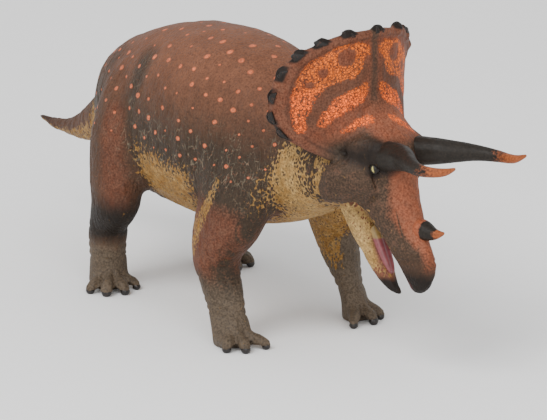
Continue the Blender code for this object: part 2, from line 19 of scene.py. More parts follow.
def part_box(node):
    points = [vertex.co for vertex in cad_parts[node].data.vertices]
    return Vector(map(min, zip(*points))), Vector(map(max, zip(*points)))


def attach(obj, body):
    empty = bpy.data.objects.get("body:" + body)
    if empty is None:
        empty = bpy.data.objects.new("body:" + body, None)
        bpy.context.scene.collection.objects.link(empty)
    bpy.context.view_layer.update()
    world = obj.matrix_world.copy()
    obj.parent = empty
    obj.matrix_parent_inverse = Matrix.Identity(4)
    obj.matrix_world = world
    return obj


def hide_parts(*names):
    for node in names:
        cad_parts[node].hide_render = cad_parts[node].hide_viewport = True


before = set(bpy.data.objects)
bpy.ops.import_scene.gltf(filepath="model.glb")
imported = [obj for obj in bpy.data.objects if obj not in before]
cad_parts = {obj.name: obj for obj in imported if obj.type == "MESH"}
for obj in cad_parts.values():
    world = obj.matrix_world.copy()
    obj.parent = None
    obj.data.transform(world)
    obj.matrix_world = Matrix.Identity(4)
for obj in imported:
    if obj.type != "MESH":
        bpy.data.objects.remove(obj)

bl_info = {
    "name": "Horned dinosaur figure",
    "version": (1, 0, 0),
    "blender": (4, 5, 0),
    "location": "3D View > Sidebar > Figure",
    "description": "Dresses the packed figure: hide, horns, nails, eyes, tongue and stage",
    "category": "Object",
}

MM = 0.001
SIDES = {"left": 1, "right": -1}
BODY_NODES = ["torso", "neck", "tail_base", "tail_tip"] + [
    part + end + side for part in ("leg_", "foot_") for end in ("front_", "hind_") for side in SIDES
]
HEAD_NODES = ["head", "jaw_lower", "beak_upper", "beak_lower", "frill"]

# The layout that the solids were drawn in: its origin from the middle of the four feet, and its foot places
FEET_TO_LAYOUT = (-1.737, 1.50)
FRONT_FEET = {"left": (29.7, 20.0), "right": (32.6, -20.0)}
HIND_FEET = {"left": (-31.2, 14.6), "right": (-28.6, -20.6)}
TOE_SPLAY = 34.0
# Hooved toes: bearing from straight ahead of the foot towards its inner side, reach, half width
FRONT_TOES = [(73.0, 9.2, 1.8), (29.0, 7.4, 2.0), (-15.0, 6.4, 1.9)]
HIND_TOES = [(70.0, 7.4, 1.7), (28.0, 8.7, 2.0), (-6.0, 9.3, 2.1), (-40.0, 8.8, 1.9)]

# The head's own frame in degrees, and what the solids place in it: forward, sideways and height, and in
# each ring of a horn a radius. The tongue's rings have forward, height and radius
HEAD_TURN = 13.0
HEAD_TIP = 4.0
EYE_PLACE = (11.8, 7.9, 54.4)
EYE_RADIUS = 1.5
BROW_HORN = [
    (4.2, 3.4, 55.4, 1.8),
    (6.8, 4.2, 56.4, 3.6),
    (11.0, 4.9, 57.2, 4.05),
    (14.5, 5.5, 57.9, 3.85),
    (18.0, 6.3, 58.4, 3.6),
    (21.0, 7.3, 58.8, 3.25),
    (24.8, 9.8, 59.1, 2.65),
    (28.6, 12.3, 59.2, 2.05),
    (33.0, 14.2, 59.1, 1.6),
    (37.1, 13.9, 59.3, 1.3),
    (40.7, 13.1, 60.0, 1.0),
    (43.9, 13.1, 61.5, 0.35),
]
NOSE_HORN = [
    (18.4, 0.0, 40.2, 1.8),
    (21.4, 0.0, 39.9, 2.6),
    (23.4, 0.0, 39.6, 2.5),
    (25.8, 0.0, 39.3, 1.7),
    (27.8, 0.0, 39.6, 1.0),
    (29.5, 0.0, 40.2, 0.35),
]
TONGUE = [
    (6.2, 37.6, 2.5),
    (7.6, 34.6, 2.4),
    (9.6, 31.2, 2.1),
    (11.4, 28.3, 1.6),
    (12.7, 26.3, 0.8),
]
FRILL_MIDDLE = 71.5
FRILL_HALF_WIDTH = 23.0
FRILL_RISE = 16.2
FRILL_DROP = 18.6
FRILL_SQUARENESS = 2.4
FRILL_SLOPE = [(52.0, 9.6, 0.058), (62.1, 9.2, 0.044), (72.4, 5.4, 0.029), (89.3, 3.5, 0.020)]
FRILL_RIM_THICKNESS = 2.0
KNOB_SIDE_ANGLES = (19.0, 38.0, 56.0, 75.0, 92.0, 107.0, 121.0)
KNOB_ANGLES = [0.0] + [side * angle for angle in KNOB_SIDE_ANGLES for side in (1, -1)]

# Orange bands on the frill's front, from the stripe outwards, as across, height and half width. The dark
# eye-spots lie in the first band. Past NO_MARK there is no band or dab
FRILL_BANDS = [
    [
        (2.2, 83.0, 1.2),
        (4.4, 83.0, 2.2),
        (8.0, 80.2, 4.6),
        (12.4, 77.8, 3.8),
        (14.6, 74.4, 2.8),
        (15.4, 71.0, 2.0),
        (15.5, 66.0, 1.2),
        (15.1, 62.2, 0.9),
    ],
    [(2.6, 73.6, 1.3), (4.4, 71.8, 2.1), (8.0, 69.6, 2.0), (10.6, 66.8, 1.4), (12.0, 64.2, 0.7)],
    [(2.6, 66.4, 0.7), (4.8, 65.2, 0.9), (7.0, 63.6, 0.6), (8.8, 62.4, 0.2)],
]
EYE_SPOTS = [(7.9, 81.4, 2.2), (12.6, 77.4, 1.2), (14.9, 74.2, 0.9)]
FRILL_STRIPE = [(-1.7, 86.4), (-2.8, 70.0)]
STRIPE_CLEARANCE = 1.5
NO_MARK = 9.0

# Middles of painted patches on either side, in the layout on the body and in the head's frame on the head
HIP_BAND = [(-18.0, 18.0, 66.0), (-16.5, 21.0, 54.0), (-14.0, 21.0, 42.0)]
RUMP_BAND = [(-41.0, 15.0, 62.0), (-43.0, 18.0, 50.0), (-39.0, 19.0, 36.0)]
THIGH_PATCH = [(-23.0, 23.0, 50.0), (-21.0, 24.0, 38.0), (-19.5, 24.0, 28.0)]
THIGH_REAR = [(-43.0, 11.0, 46.0), (-39.0, 11.0, 36.0), (-36.0, 12.0, 28.0)]
ELBOW_STRIP = [
    (27.8, 22.4, 43.0, 0.0),
    (25.7, 24.3, 36.1, 0.6),
    (22.8, 25.4, 31.0, 1.5),
    (22.0, 25.8, 24.4, 0.5),
]
BROW_PATCH = [(5.0, 7.0, 57.0), (13.0, 6.2, 57.6), (17.0, 7.0, 57.4)]
FRILL_SHADE = [(4.5, 77.5), (9.0, 73.5), (12.5, 70.5), (13.5, 66.0)]
NOSTRIL = (22.4, 2.7, 35.6)
DAB_SPACING = 5.3

# Folds of the hide on either side, as along, out from the middle and height in the layout, with the
# fold's width and depth
BODY_FOLDS = [
    ([(10.0, 23.0, 58.0), (11.0, 23.5, 48.0), (12.5, 21.5, 40.0), (16.0, 18.0, 30.0)], 1.2, 0.5),
    ([(20.0, 21.0, 62.0), (24.0, 21.0, 54.0), (25.0, 20.5, 46.0)], 1.6, 0.3),
    ([(36.0, 15.0, 56.0), (38.5, 15.0, 48.0), (38.0, 15.0, 40.0), (35.0, 15.0, 34.0)], 1.1, 0.4),
    ([(-10.0, 23.0, 62.0), (-11.0, 23.5, 50.0), (-12.5, 22.0, 40.0), (-15.0, 19.0, 30.0)], 1.3, 0.5),
    ([(-14.0, 22.0, 60.0), (-15.5, 22.5, 50.0), (-15.5, 22.0, 42.0)], 0.9, 0.35),
    ([(44.0, 12.0, 58.0), (46.0, 12.5, 50.0), (44.5, 10.0, 42.0), (42.0, 6.0, 38.0)], 1.0, 0.4),
    ([(49.0, 10.5, 56.0), (51.0, 11.0, 49.0), (49.0, 8.5, 42.0)], 0.9, 0.4),
    ([(-8.0, 19.0, 34.0), (2.0, 20.0, 33.0), (10.0, 18.0, 33.0)], 1.0, 0.3),
    ([(-6.0, 15.0, 28.5), (3.0, 16.0, 28.0), (11.0, 14.0, 28.5)], 1.0, 0.3),
    ([(22.0, 21.5, 26.0), (26.0, 23.0, 23.5), (31.0, 21.0, 23.0)], 0.9, 0.4),
    ([(21.0, 21.0, 22.0), (26.0, 23.0, 20.5), (31.0, 21.0, 20.5)], 0.8, 0.3),
]

# Creases round each ankle: height and depth
ANKLE_FOLDS = [(8.4, 0.35), (10.0, 0.3), (12.2, 0.2), (16.8, 0.2)]

# Folds of the head on either side, as forward, out from the middle and height in the head's frame, with
# the fold's width and depth
HEAD_FOLDS = [
    ([(12.6, 6.8, 47.5), (9.0, 7.6, 44.5), (5.5, 7.4, 43.5)], 0.8, 0.5),
    ([(14.5, 6.0, 50.0), (10.0, 8.2, 49.5), (6.0, 9.6, 50.5)], 0.9, 0.3),
    ([(16.5, 4.8, 44.0), (18.5, 4.2, 38.0), (20.0, 3.6, 33.5)], 0.7, 0.3),
    ([(15.0, 3.8, 32.0), (18.5, 3.6, 31.2), (22.0, 3.0, 31.4), (26.0, 1.0, 32.0)], 0.5, 0.35),
    ([(4.0, 10.6, 53.0), (1.5, 12.2, 51.0)], 0.8, 0.3),
    ([(8.0, 8.0, 60.5), (4.0, 9.6, 58.0), (1.0, 11.0, 55.5)], 1.0, 0.35),
]

# How far the skins swell to fuse the solids, how far they reach over the next ones, and how often they are
# smoothed
BODY_CLOSING = 0.4
BODY_REACH = 2.6
HEAD_CLOSING = 0.35
HEAD_REACH = 2.2
SMOOTHING_ROUNDS = 14

# How far the frill's rim and its knobs are drawn in at the sides, and the knob's taper and rounding as shares
# of its size
SIDE_RIM_DRAW = 0.9
SIDE_KNOB_DRAW = 0.8
KNOB_TAPER = (0.45, 0.6, 1.0)
KNOB_ROUNDING = 0.16

# A nail's half length, and its half width, half height and middle as shares of its toe's half width
NAIL_HALF_LENGTH = 1.1
NAIL_HALF_WIDTH = 0.6
NAIL_HALF_HEIGHT = 0.52
NAIL_MIDDLE = 0.48
NAIL_SETBACK = 0.35

# The stage, in metres: each light's place and its share of the key light's power
FLOOR_SIZE = 6.0
LIGHT_SIZE = 0.6
LIGHT_AIM = (0.0, 0.0, 0.04)
LIGHTS = {"key": ((0.25, -0.75, 0.95), 1.0), "fill": ((0.9, -0.3, 0.5), 0.4)}


def linear(hex_colour):
    """An sRGB hex colour as linear red, green, blue and alpha."""
    channels = [int(hex_colour[i : i + 2], 16) / 255 for i in (1, 3, 5)]
    return (*[c / 12.92 if c <= 0.04045 else ((c + 0.055) / 1.055) ** 2.4 for c in channels], 1.0)


def length(name, description, default):
    """A length in the panel, whose default is given in millimetres."""
    return FloatProperty(name=name, description=description, default=default * MM, unit="LENGTH", precision=5)


def colour(name, description, default):
    """A colour in the panel, whose default is given as an sRGB hex value."""
    return FloatVectorProperty(
        name=name, description=description, default=linear(default), size=4, subtype="COLOR", min=0.0, max=1.0
    )


class HideSettings(bpy.types.PropertyGroup):
    body_grain: length("Body grain", "Size of the mesh on the body", 0.56)
    head_grain: length("Head grain", "Size of the mesh on the head and frill", 0.34)
    back: colour("Back", "Mauve brown of the back", "#6e4632")
    dark: colour("Dark", "Grey brown of the flanks, shoulders and cheeks", "#33291f")
    rust: colour("Rust", "Red brown of the thighs, forelegs and frill", "#5c2f1d")
    clay: colour("Clay", "Bright red brown of the snout's front", "#8a4a30")
    ochre: colour("Ochre", "Ochre of the belly, neck and jaw", "#734d1a")
    pale: colour("Pale", "Pale ochre rubbed on the throat", "#a88a58")
    vein: colour("Vein", "Grey buff rubbed on the folds of the dark parts", "#7d7460")
    dust: colour("Dust", "Grey brown of the lower legs and feet", "#55493c")
    coal: colour("Coal", "Near black of the beak's edges", "#1a1410")
    orange: colour("Orange", "Bright bands of the frill", "#fa650c")
    amber: colour("Amber", "Yellower orange of the frill's upper bands", "#ea6a00")
    spot: colour("Spots", "Salmon dabs on the back", "#c26744")
    flesh: colour("Mouth", "Dull pink inside the mouth", "#5a2c2c")


class HornSettings(bpy.types.PropertyGroup):
    groove: length("Groove", "Depth of the grooves along a horn", 0.09)
    shaft: colour("Shaft", "Charcoal of the horns", "#211c17")
    tip: colour("Tip", "Red brown of the horns' tips", "#8a4a28")
    root: colour("Root", "Red brown at the nose horn's root", "#8a4a30")


class KnobSettings(bpy.types.PropertyGroup):
    width: length("Width", "Length of a knob along the frill's rim", 3.5)
    rise: length("Rise", "Height of a knob above the rim at the top", 1.25)
    root: length("Root", "Depth of a knob within the rim", 0.9)
    coat: colour("Colour", "Near black of the knobs", "#15120f")


class NailSettings(bpy.types.PropertyGroup):
    proud: length("Proud", "How far a nail stands proud of the toe", 0.1)
    coat: colour("Colour", "Near black of the nails", "#171210")


class EyeSettings(bpy.types.PropertyGroup):
    iris: colour("Iris", "Pale yellow of the eye", "#b9ad62")
    pupil: colour("Pupil", "Black slit of the eye", "#17120e")


class TongueSettings(bpy.types.PropertyGroup):
    coat: colour("Colour", "Dull pink of the tongue", "#7a3f42")
    back: colour("Back", "Ochre of the skin behind the tongue", "#8a7042")


class StageSettings(bpy.types.PropertyGroup):
    floor: colour("Floor", "White of the floor", "#fbfbfb")
    key_power: FloatProperty(name="Key light", description="Power of the main light in watts", default=9.0)
    sky: FloatProperty(name="Sky", description="Strength of the light from all round", default=1.0)


def layout_origin():
    """The place on the floor that the layout's origin has in the scene."""
    corners = [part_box("foot_" + end + side) for end in ("front_", "hind_") for side in SIDES]
    middle = sum((low + high for low, high in corners), Vector()) / 8
    return np.array((middle.x / MM + FEET_TO_LAYOUT[0], middle.y / MM + FEET_TO_LAYOUT[1], 0.0))


def head_axes():
    """The head's forward, sideways and upward directions, as rows."""
    turn, tip = math.radians(HEAD_TURN), math.radians(HEAD_TIP)
    return np.array(
        (
            (math.cos(turn), math.sin(turn), 0.0),
            (-math.sin(turn) * math.cos(tip), math.cos(turn) * math.cos(tip), -math.sin(tip)),
            (-math.sin(turn) * math.sin(tip), math.cos(turn) * math.sin(tip), math.cos(tip)),
        )
    )


def head_origin():
    """The place in the scene that the head's forward 0, sideways 0 and height 0 stand for."""
    corners = [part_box("eye_" + side) for side in SIDES]
    middle = np.array(sum((low + high for low, high in corners), Vector()) / 4) / MM
    return middle - np.array((EYE_PLACE[0], 0.0, EYE_PLACE[2])) @ head_axes()


def head_point(forward, sideways, height):
    """A place in the head's frame, as a place in the scene."""
    return head_origin() + np.array((forward, sideways, height)) @ head_axes()


def into_head(points):
    """Places in the scene, as places in the head's frame."""
    return (points - head_origin()) @ head_axes().T


def smooth_rows(rows, per_span):
    """Rows of numbers, filled in along a smooth curve that passes through each row."""
    rows = np.array(rows, float)
    ends = np.vstack([2 * rows[0] - rows[1], rows, 2 * rows[-1] - rows[-2]])
    filled = []
    for i in range(1, len(ends) - 2):
        before, start, end, after = ends[i - 1 : i + 3]
        for t in np.arange(per_span) / per_span:
            bend = 2 * before - 5 * start + 4 * end - after
            filled.append(
                start + 0.5 * t * (end - before + t * (bend + t * (3 * (start - end) + after - before)))
            )
    return np.array([*filled, rows[-1]])


def ramp(values, low, high):
    """0 up to low, 1 from high on, and smooth between. It falls instead where low lies above high."""
    share = np.clip((values - low) / (high - low), 0.0, 1.0)
    return share * share * (3 - 2 * share)


def noise(points, size, seed):
    """Smooth noise from -1 to 1, whose swellings are about size across."""
    lattice = np.random.default_rng(seed).random((24, 24, 24)) * 2 - 1
    scaled = points / size + seed * 7.31
    cell = np.floor(scaled).astype(int)
    part = scaled - cell
    part = part * part * (3 - 2 * part)
    total = np.zeros(len(points))
    for corner in np.ndindex(2, 2, 2):
        share = np.prod(np.where(corner, part, 1 - part), axis=1)
        x, y, z = ((cell + corner) % 24).T
        total += share * lattice[x, y, z]
    return total


def strewn(points, wanted, spacing, seed):
    """Each point's distance from the nearest of the middles strewn over the wanted points, and its number."""
    drawn = np.random.default_rng(seed)
    chosen = []
    for i in drawn.permutation(np.nonzero(wanted)[0]):
        place = points[i]
        if not chosen or np.min(np.linalg.norm(np.array(chosen) - place, axis=1)) > spacing:
            chosen.append(place)
    tree = KDTree(len(chosen))
    for i, place in enumerate(chosen):
        tree.insert(place, i)
    tree.balance()
    found = [tree.find(place) for place in points]
    number = drawn.random(len(chosen))[[hit[1] for hit in found]]
    return np.array([hit[2] for hit in found]), number


def away_from(points, path):
    """Distance of each point from a path, less the path's own half width where its rows give one."""
    path = np.array(path, float)
    count = points.shape[1]
    if len(path) == 1:
        path = np.vstack([path, path])
    best = np.full(len(points), 1e9)
    for start, end in zip(path[:-1], path[1:]):
        run = end[:count] - start[:count]
        along = np.clip((points - start[:count]) @ run / max(run @ run, 1e-9), 0.0, 1.0)
        distance = np.linalg.norm(points - start[:count] - along[:, None] * run, axis=1)
        if len(start) > count:
            distance = distance - start[count] - along * (end[count] - start[count])
        best = np.minimum(best, distance)
    return best


def stroke(points, path, core, edge):
    """1 within core of a path, fading to 0 at edge."""
    return ramp(away_from(points, path), edge, core)


def only(obj):
    """Selects one object alone."""
    bpy.ops.object.select_all(action="DESELECT")
    obj.select_set(True)
    bpy.context.view_layer.objects.active = obj


def apply_modifiers(obj):
    """Applies an object's modifiers in their order."""
    only(obj)
    for modifier in list(obj.modifiers):
        bpy.ops.object.modifier_apply(modifier=modifier.name)


def points_of(mesh):
    """A mesh's points in millimetres, and its outward directions."""
    points, normals = np.zeros(len(mesh.vertices) * 3), np.zeros(len(mesh.vertices) * 3)
    mesh.vertices.foreach_get("co", points)
    mesh.vertices.foreach_get("normal", normals)
    return points.reshape(-1, 3) / MM, normals.reshape(-1, 3)


def set_points(mesh, points):
    """Moves a mesh's points to places in millimetres."""
    mesh.vertices.foreach_set("co", (points * MM).ravel())
    mesh.update()


def set_field(mesh, name, values):
    """Keeps a value at each point of a mesh, for its material to read."""
    field = mesh.attributes.new(name, "FLOAT", "POINT")
    field.data.foreach_set("value", np.asarray(values, float))


def node_tree_of(nodes):
    """What measures the distance to the surface of some CAD nodes."""
    points, faces = [], []
    for name in nodes:
        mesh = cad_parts[name].data
        faces += [tuple(len(points) + i for i in face.vertices) for face in mesh.polygons]
        points += [v.co / MM for v in mesh.vertices]
    return BVHTree.FromPolygons(points, faces)


def distance_to(points, nodes):
    """Distance of each point from the nearest surface of some CAD nodes."""
    tree = node_tree_of(nodes)
    return np.array([tree.find_nearest(Vector(p))[3] for p in points])


def fused_copy(name, nodes, grain, closing):
    """One seamless skin over copies of CAD nodes: swollen until they meet, remeshed, and drawn in again."""
    bpy.ops.object.select_all(action="DESELECT")
    for node in nodes:
        made = bpy.data.objects.new(name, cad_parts[node].data.copy())
        bpy.context.scene.collection.objects.link(made)
        made.select_set(True)
    bpy.context.view_layer.objects.active = made
    bpy.ops.object.join()
    bpy.ops.object.mode_set(mode="EDIT")
    bpy.ops.mesh.select_all(action="SELECT")
    bpy.ops.mesh.remove_doubles(threshold=0.001 * MM)
    bpy.ops.object.mode_set(mode="OBJECT")
    made.data.materials.clear()
    swell = made.modifiers.new("swell", "DISPLACE")
    swell.strength = closing * MM
    swell.mid_level = 0.0
    remesh = made.modifiers.new("fuse", "REMESH")
    remesh.mode = "VOXEL"
    remesh.voxel_size = grain
    apply_modifiers(made)
    even_out(made.data, 6)
    points, normals = points_of(made.data)
    set_points(made.data, points - normals * closing)
    return made


def even_out(mesh, rounds):
    """Smooths facets away without losing volume."""
    points = points_of(mesh)[0]
    edges = np.zeros(len(mesh.edges) * 2, int)
    mesh.edges.foreach_get("vertices", edges)
    start, end = edges.reshape(-1, 2).T
    count = np.bincount(edges, minlength=len(points))
    for _ in range(rounds):
        for share in (0.55, -0.57):
            pull = np.zeros((3, len(points)))
            for i in range(3):
                pull[i] = np.bincount(start, points[end, i], len(points))
                pull[i] += np.bincount(end, points[start, i], len(points))
            step = pull.T / np.maximum(count, 1)[:, None] - points
            points = points + share * step
    set_points(mesh, points)


def trim(obj, nodes, reach):
    """Keeps the skin that lies within reach of these nodes, tucks its end under and closes it."""
    points, normals = points_of(obj.data)
    far = distance_to(points, nodes)
    tuck = ramp(far, 0.5, reach) * 0.6
    set_points(obj.data, points - normals * tuck[:, None])
    shape = bmesh.new()
    shape.from_mesh(obj.data)
    shape.verts.ensure_lookup_table()
    bmesh.ops.delete(shape, geom=[shape.verts[i] for i in np.nonzero(far > reach)[0]], context="VERTS")
    keep_largest(shape)
    rim = [edge for edge in shape.edges if edge.is_boundary]
    filled = bmesh.ops.holes_fill(shape, edges=rim, sides=0)["faces"]
    bmesh.ops.triangulate(shape, faces=filled)
    bmesh.ops.recalc_face_normals(shape, faces=shape.faces)
    shape.to_mesh(obj.data)
    shape.free()


def keep_largest(shape):
    """Deletes all but the largest of a shape's separate surfaces."""
    left, groups = set(shape.verts), []
    while left:
        group, edge = set(), [left.pop()]
        while edge:
            vertex = edge.pop()
            group.add(vertex)
            for link in vertex.link_edges:
                other = link.other_vert(vertex)
                if other in left:
                    left.discard(other)
                    edge.append(other)
        groups.append(group)
    groups.sort(key=len)
    bmesh.ops.delete(shape, geom=[v for group in groups[:-1] for v in group], context="VERTS")


def finish_piece(obj, name, material, nodes=()):
    """Names, paints and smooths a piece, and says what it rides on and the nodes it replaces."""
    obj.name = name
    obj.data.name = name
    obj.data.materials.clear()
    obj.data.materials.append(material)
    only(obj)
    bpy.ops.object.shade_smooth()
    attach(obj, "root")
    if nodes:
        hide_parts(*nodes)
    return obj


def add(tree, kind, inputs=None, output=0, **settings):
    """Adds a node with its settings, links or fills its inputs, and gives one of its outputs."""
    node = tree.nodes.new(kind)
    for name, value in settings.items():
        setattr(node, name, value)
    for socket, value in (inputs or {}).items():
        if isinstance(value, bpy.types.NodeSocket):
            tree.links.new(value, node.inputs[socket])
        else:
            node.inputs[socket].default_value = value
    return node.outputs[output]


def new_material(name, roughness, **constants):
    """A material whose Principled shader has these constants, and the tree and shader to link the rest to."""
    material = bpy.data.materials.new(name)
    material.use_nodes = True
    tree = material.node_tree
    shader = tree.nodes["Principled BSDF"]
    shader.inputs["Roughness"].default_value = roughness
    shader.inputs["IOR"].default_value = 1.5
    for socket, value in constants.items():
        shader.inputs[socket.replace("_", " ")].default_value = value
    return material, tree, shader


def field(tree, name):
    """What a material reads of a value that is kept at each point."""
    return add(tree, "ShaderNodeAttribute", output=2, attribute_name=name)


def spread(tree, value, *ends):
    """A value between two ends spread between two others, given next, or else between 0 and 1."""
    return add(tree, "ShaderNodeMapRange", dict(enumerate((value, *ends))))


def reckon(tree, operation, *values):
    """What a Math node makes of some values."""
    return add(tree, "ShaderNodeMath", dict(enumerate(values)), operation=operation)


def laid_over(tree, share, under, over):
    """One colour laid over another by a share from 0 to 1."""
    return add(tree, "ShaderNodeMix", {0: share, 6: under, 7: over}, 2, data_type="RGBA")


def toned(tree, coat, tone):
    """A colour made lighter or darker."""
    return add(tree, "ShaderNodeVectorMath", {0: coat, "Scale": tone}, operation="SCALE")


def cloud(tree, place, size, detail, output=0):
    """Noise whose swellings are so many millimetres across."""
    return add(tree, "ShaderNodeTexNoise", {0: place, "Scale": 1 / (size * MM), "Detail": detail}, output)


def emboss(tree, shader, height, strength, depth):
    """Gives a shader relief from a height, with its depth in millimetres."""
    bump = add(tree, "ShaderNodeBump", {"Height": height, "Strength": strength, "Distance": depth * MM})
    tree.links.new(bump, shader.inputs["Normal"])


def painted_vinyl(settings):
    """Moulded vinyl under airbrushed matt acrylics and dabs: dull, with broken edges and a pebbled skin."""
    material, tree, shader = new_material("painted_soft_vinyl", 0.55, Specular_IOR_Level=0.18)
    place = add(tree, "ShaderNodeTexCoord", output=3)
    # Paint grain is 0.5 mm, wear 1.8 mm, drift 9 mm, flecks 0.65 mm and the bands' net 0.75 mm. Pebbles are
    # about 0.5 mm and drawn at 0.8 mm, or they wouldn't show
    grain = cloud(tree, place, 0.5, 2.0)
    wear = cloud(tree, place, 1.8, 4.0)
    drift = cloud(tree, place, 9.0, 2.0)
    sway = cloud(tree, place, 5.0, 2.0, 1)
    reach = (2.4 * MM, 2.4 * MM, 1.2 * MM)
    sway = add(tree, "ShaderNodeVectorMath", {0: sway, 1: reach}, operation="MULTIPLY")
    bent = add(tree, "ShaderNodeVectorMath", {0: place, 1: sway}, operation="ADD")
    # Creases run upright, about 1.5 mm apart and 5 mm long; flecks are drawn out upright by half
    upright = add(tree, "ShaderNodeMapping", {0: bent, "Scale": (1.0, 1.0, 0.3)})
    drawn = add(tree, "ShaderNodeMapping", {0: bent, "Scale": (1.0, 1.0, 0.62)})
    creases = add(
        tree, "ShaderNodeTexVoronoi", {0: upright, "Scale": 1 / (1.5 * MM)}, feature="DISTANCE_TO_EDGE"
    )
    fleck = add(tree, "ShaderNodeTexVoronoi", {0: drawn, "Scale": 1 / (0.65 * MM)})
    net = add(tree, "ShaderNodeTexVoronoi", {0: place, "Scale": 1 / (0.75 * MM)}, feature="DISTANCE_TO_EDGE")
    pebble = add(tree, "ShaderNodeTexVoronoi", {0: place, "Scale": 1 / (0.8 * MM)})

    # Airbrushed coats, laid one over the other with ragged edges
    ragged = reckon(tree, "ADD", wear, grain)
    coat = settings.back
    for name, paint in (
        ("dark", settings.dark),
        ("rust", settings.rust),
        ("clay", settings.clay),
        ("dust", settings.dust),
        ("coal", settings.coal),
    ):
        lifted = reckon(tree, "MULTIPLY_ADD", ragged, 0.6, field(tree, name))
        share = spread(tree, lifted, 0.65, 1.55)
        coat = laid_over(tree, share, coat, paint)

    # Pale cracks rubbed over the folds of the dark parts
    crack = spread(tree, creases, 0.0, 0.05, 0.6, 0.0)
    crack = reckon(tree, "MULTIPLY", crack, field(tree, "crack"))
    broken = spread(tree, wear, 0.42, 0.62)
    crack = reckon(tree, "MULTIPLY", crack, broken)
    coat = laid_over(tree, crack, coat, settings.vein)

    # Ochre that breaks up into dark flecks towards its edge
    ochre = field(tree, "ochre")
    rubbed = reckon(tree, "ADD", field(tree, "chalk"), wear)
    rubbed = spread(tree, rubbed, 0.4, 1.1, 0.05, 0.95)
    ochre_coat = laid_over(tree, rubbed, settings.ochre, settings.pale)
    size = spread(tree, ochre, 0.1, 1.0, 0.95, 0.17)
    size = reckon(tree, "MULTIPLY_ADD", wear, 0.7, size)
    size = reckon(tree, "SUBTRACT", size, 0.33)
    clear = reckon(tree, "SUBTRACT", fleck, size)
    clear = spread(tree, clear, -0.08, 0.08)
    inside = spread(tree, ochre, 0.04, 0.25)
    clear = reckon(tree, "MULTIPLY", clear, inside)
    coat = laid_over(tree, clear, coat, ochre_coat)

    # Orange bands with a dark net, laid by hand so their edges wander
    edge = reckon(tree, "MULTIPLY_ADD", ragged, 1.9, field(tree, "band"))
    band = spread(tree, edge, 1.7, 2.05, 1.0, 0.0)
    strand = spread(tree, net, 0.03, 0.16)
    patch = spread(tree, ragged, 0.74, 1.02)
    strand = reckon(tree, "MULTIPLY", strand, patch)
    thin = spread(tree, field(tree, "upper"), 0.0, 1.0, 1.0, 0.78)
    strand = reckon(tree, "MULTIPLY", strand, thin)
    orange = reckon(tree, "MULTIPLY", band, strand)
    bright = laid_over(tree, field(tree, "upper"), settings.orange, settings.amber)
    coat = laid_over(tree, orange, coat, bright)

    # Salmon dabs, each on a raised scale
    dab = reckon(tree, "MULTIPLY_ADD", ragged, 0.9, field(tree, "spot"))
    dab = spread(tree, dab, 1.7, 2.1, 1.0, 0.0)
    coat = laid_over(tree, dab, coat, settings.spot)
    coat = laid_over(tree, field(tree, "flesh"), coat, settings.flesh)

    # Airbrush mottling: random lighter and darker patches at two sizes
    tone = spread(tree, grain, 0.32, 0.68, 0.62, 1.4)
    slow = spread(tree, drift, 0.3, 0.7, 0.88, 1.12)
    tone = reckon(tree, "MULTIPLY", tone, slow)
    coat = toned(tree, coat, tone)
    tree.links.new(coat, shader.inputs["Base Color"])
    gloss = spread(tree, grain, 0.3, 0.7, 0.46, 0.7)
    tree.links.new(gloss, shader.inputs["Roughness"])

    # Relief: pebbles, creases and raised dabs
    height = reckon(tree, "MULTIPLY_ADD", pebble, -0.5, 1.0)
    fold = spread(tree, creases, 0.0, 0.3)
    height = reckon(tree, "MULTIPLY_ADD", fold, 0.7, height)
    height = reckon(tree, "MULTIPLY_ADD", dab, 1.2, height)
    height = reckon(tree, "MULTIPLY_ADD", grain, 0.5, height)
    emboss(tree, shader, height, 0.7, 0.2)
    return material


def shares_of(points, groups, blur):
    """How much each point belongs to each group of CAD nodes, blurred over so many millimetres."""
    far = {name: distance_to(points, nodes) for name, nodes in groups.items()}
    least = np.min(list(far.values()), axis=0)
    share = {name: np.exp(-(d - least) / blur) for name, d in far.items()}
    total = sum(share.values())
    return {name: s / total for name, s in share.items()}


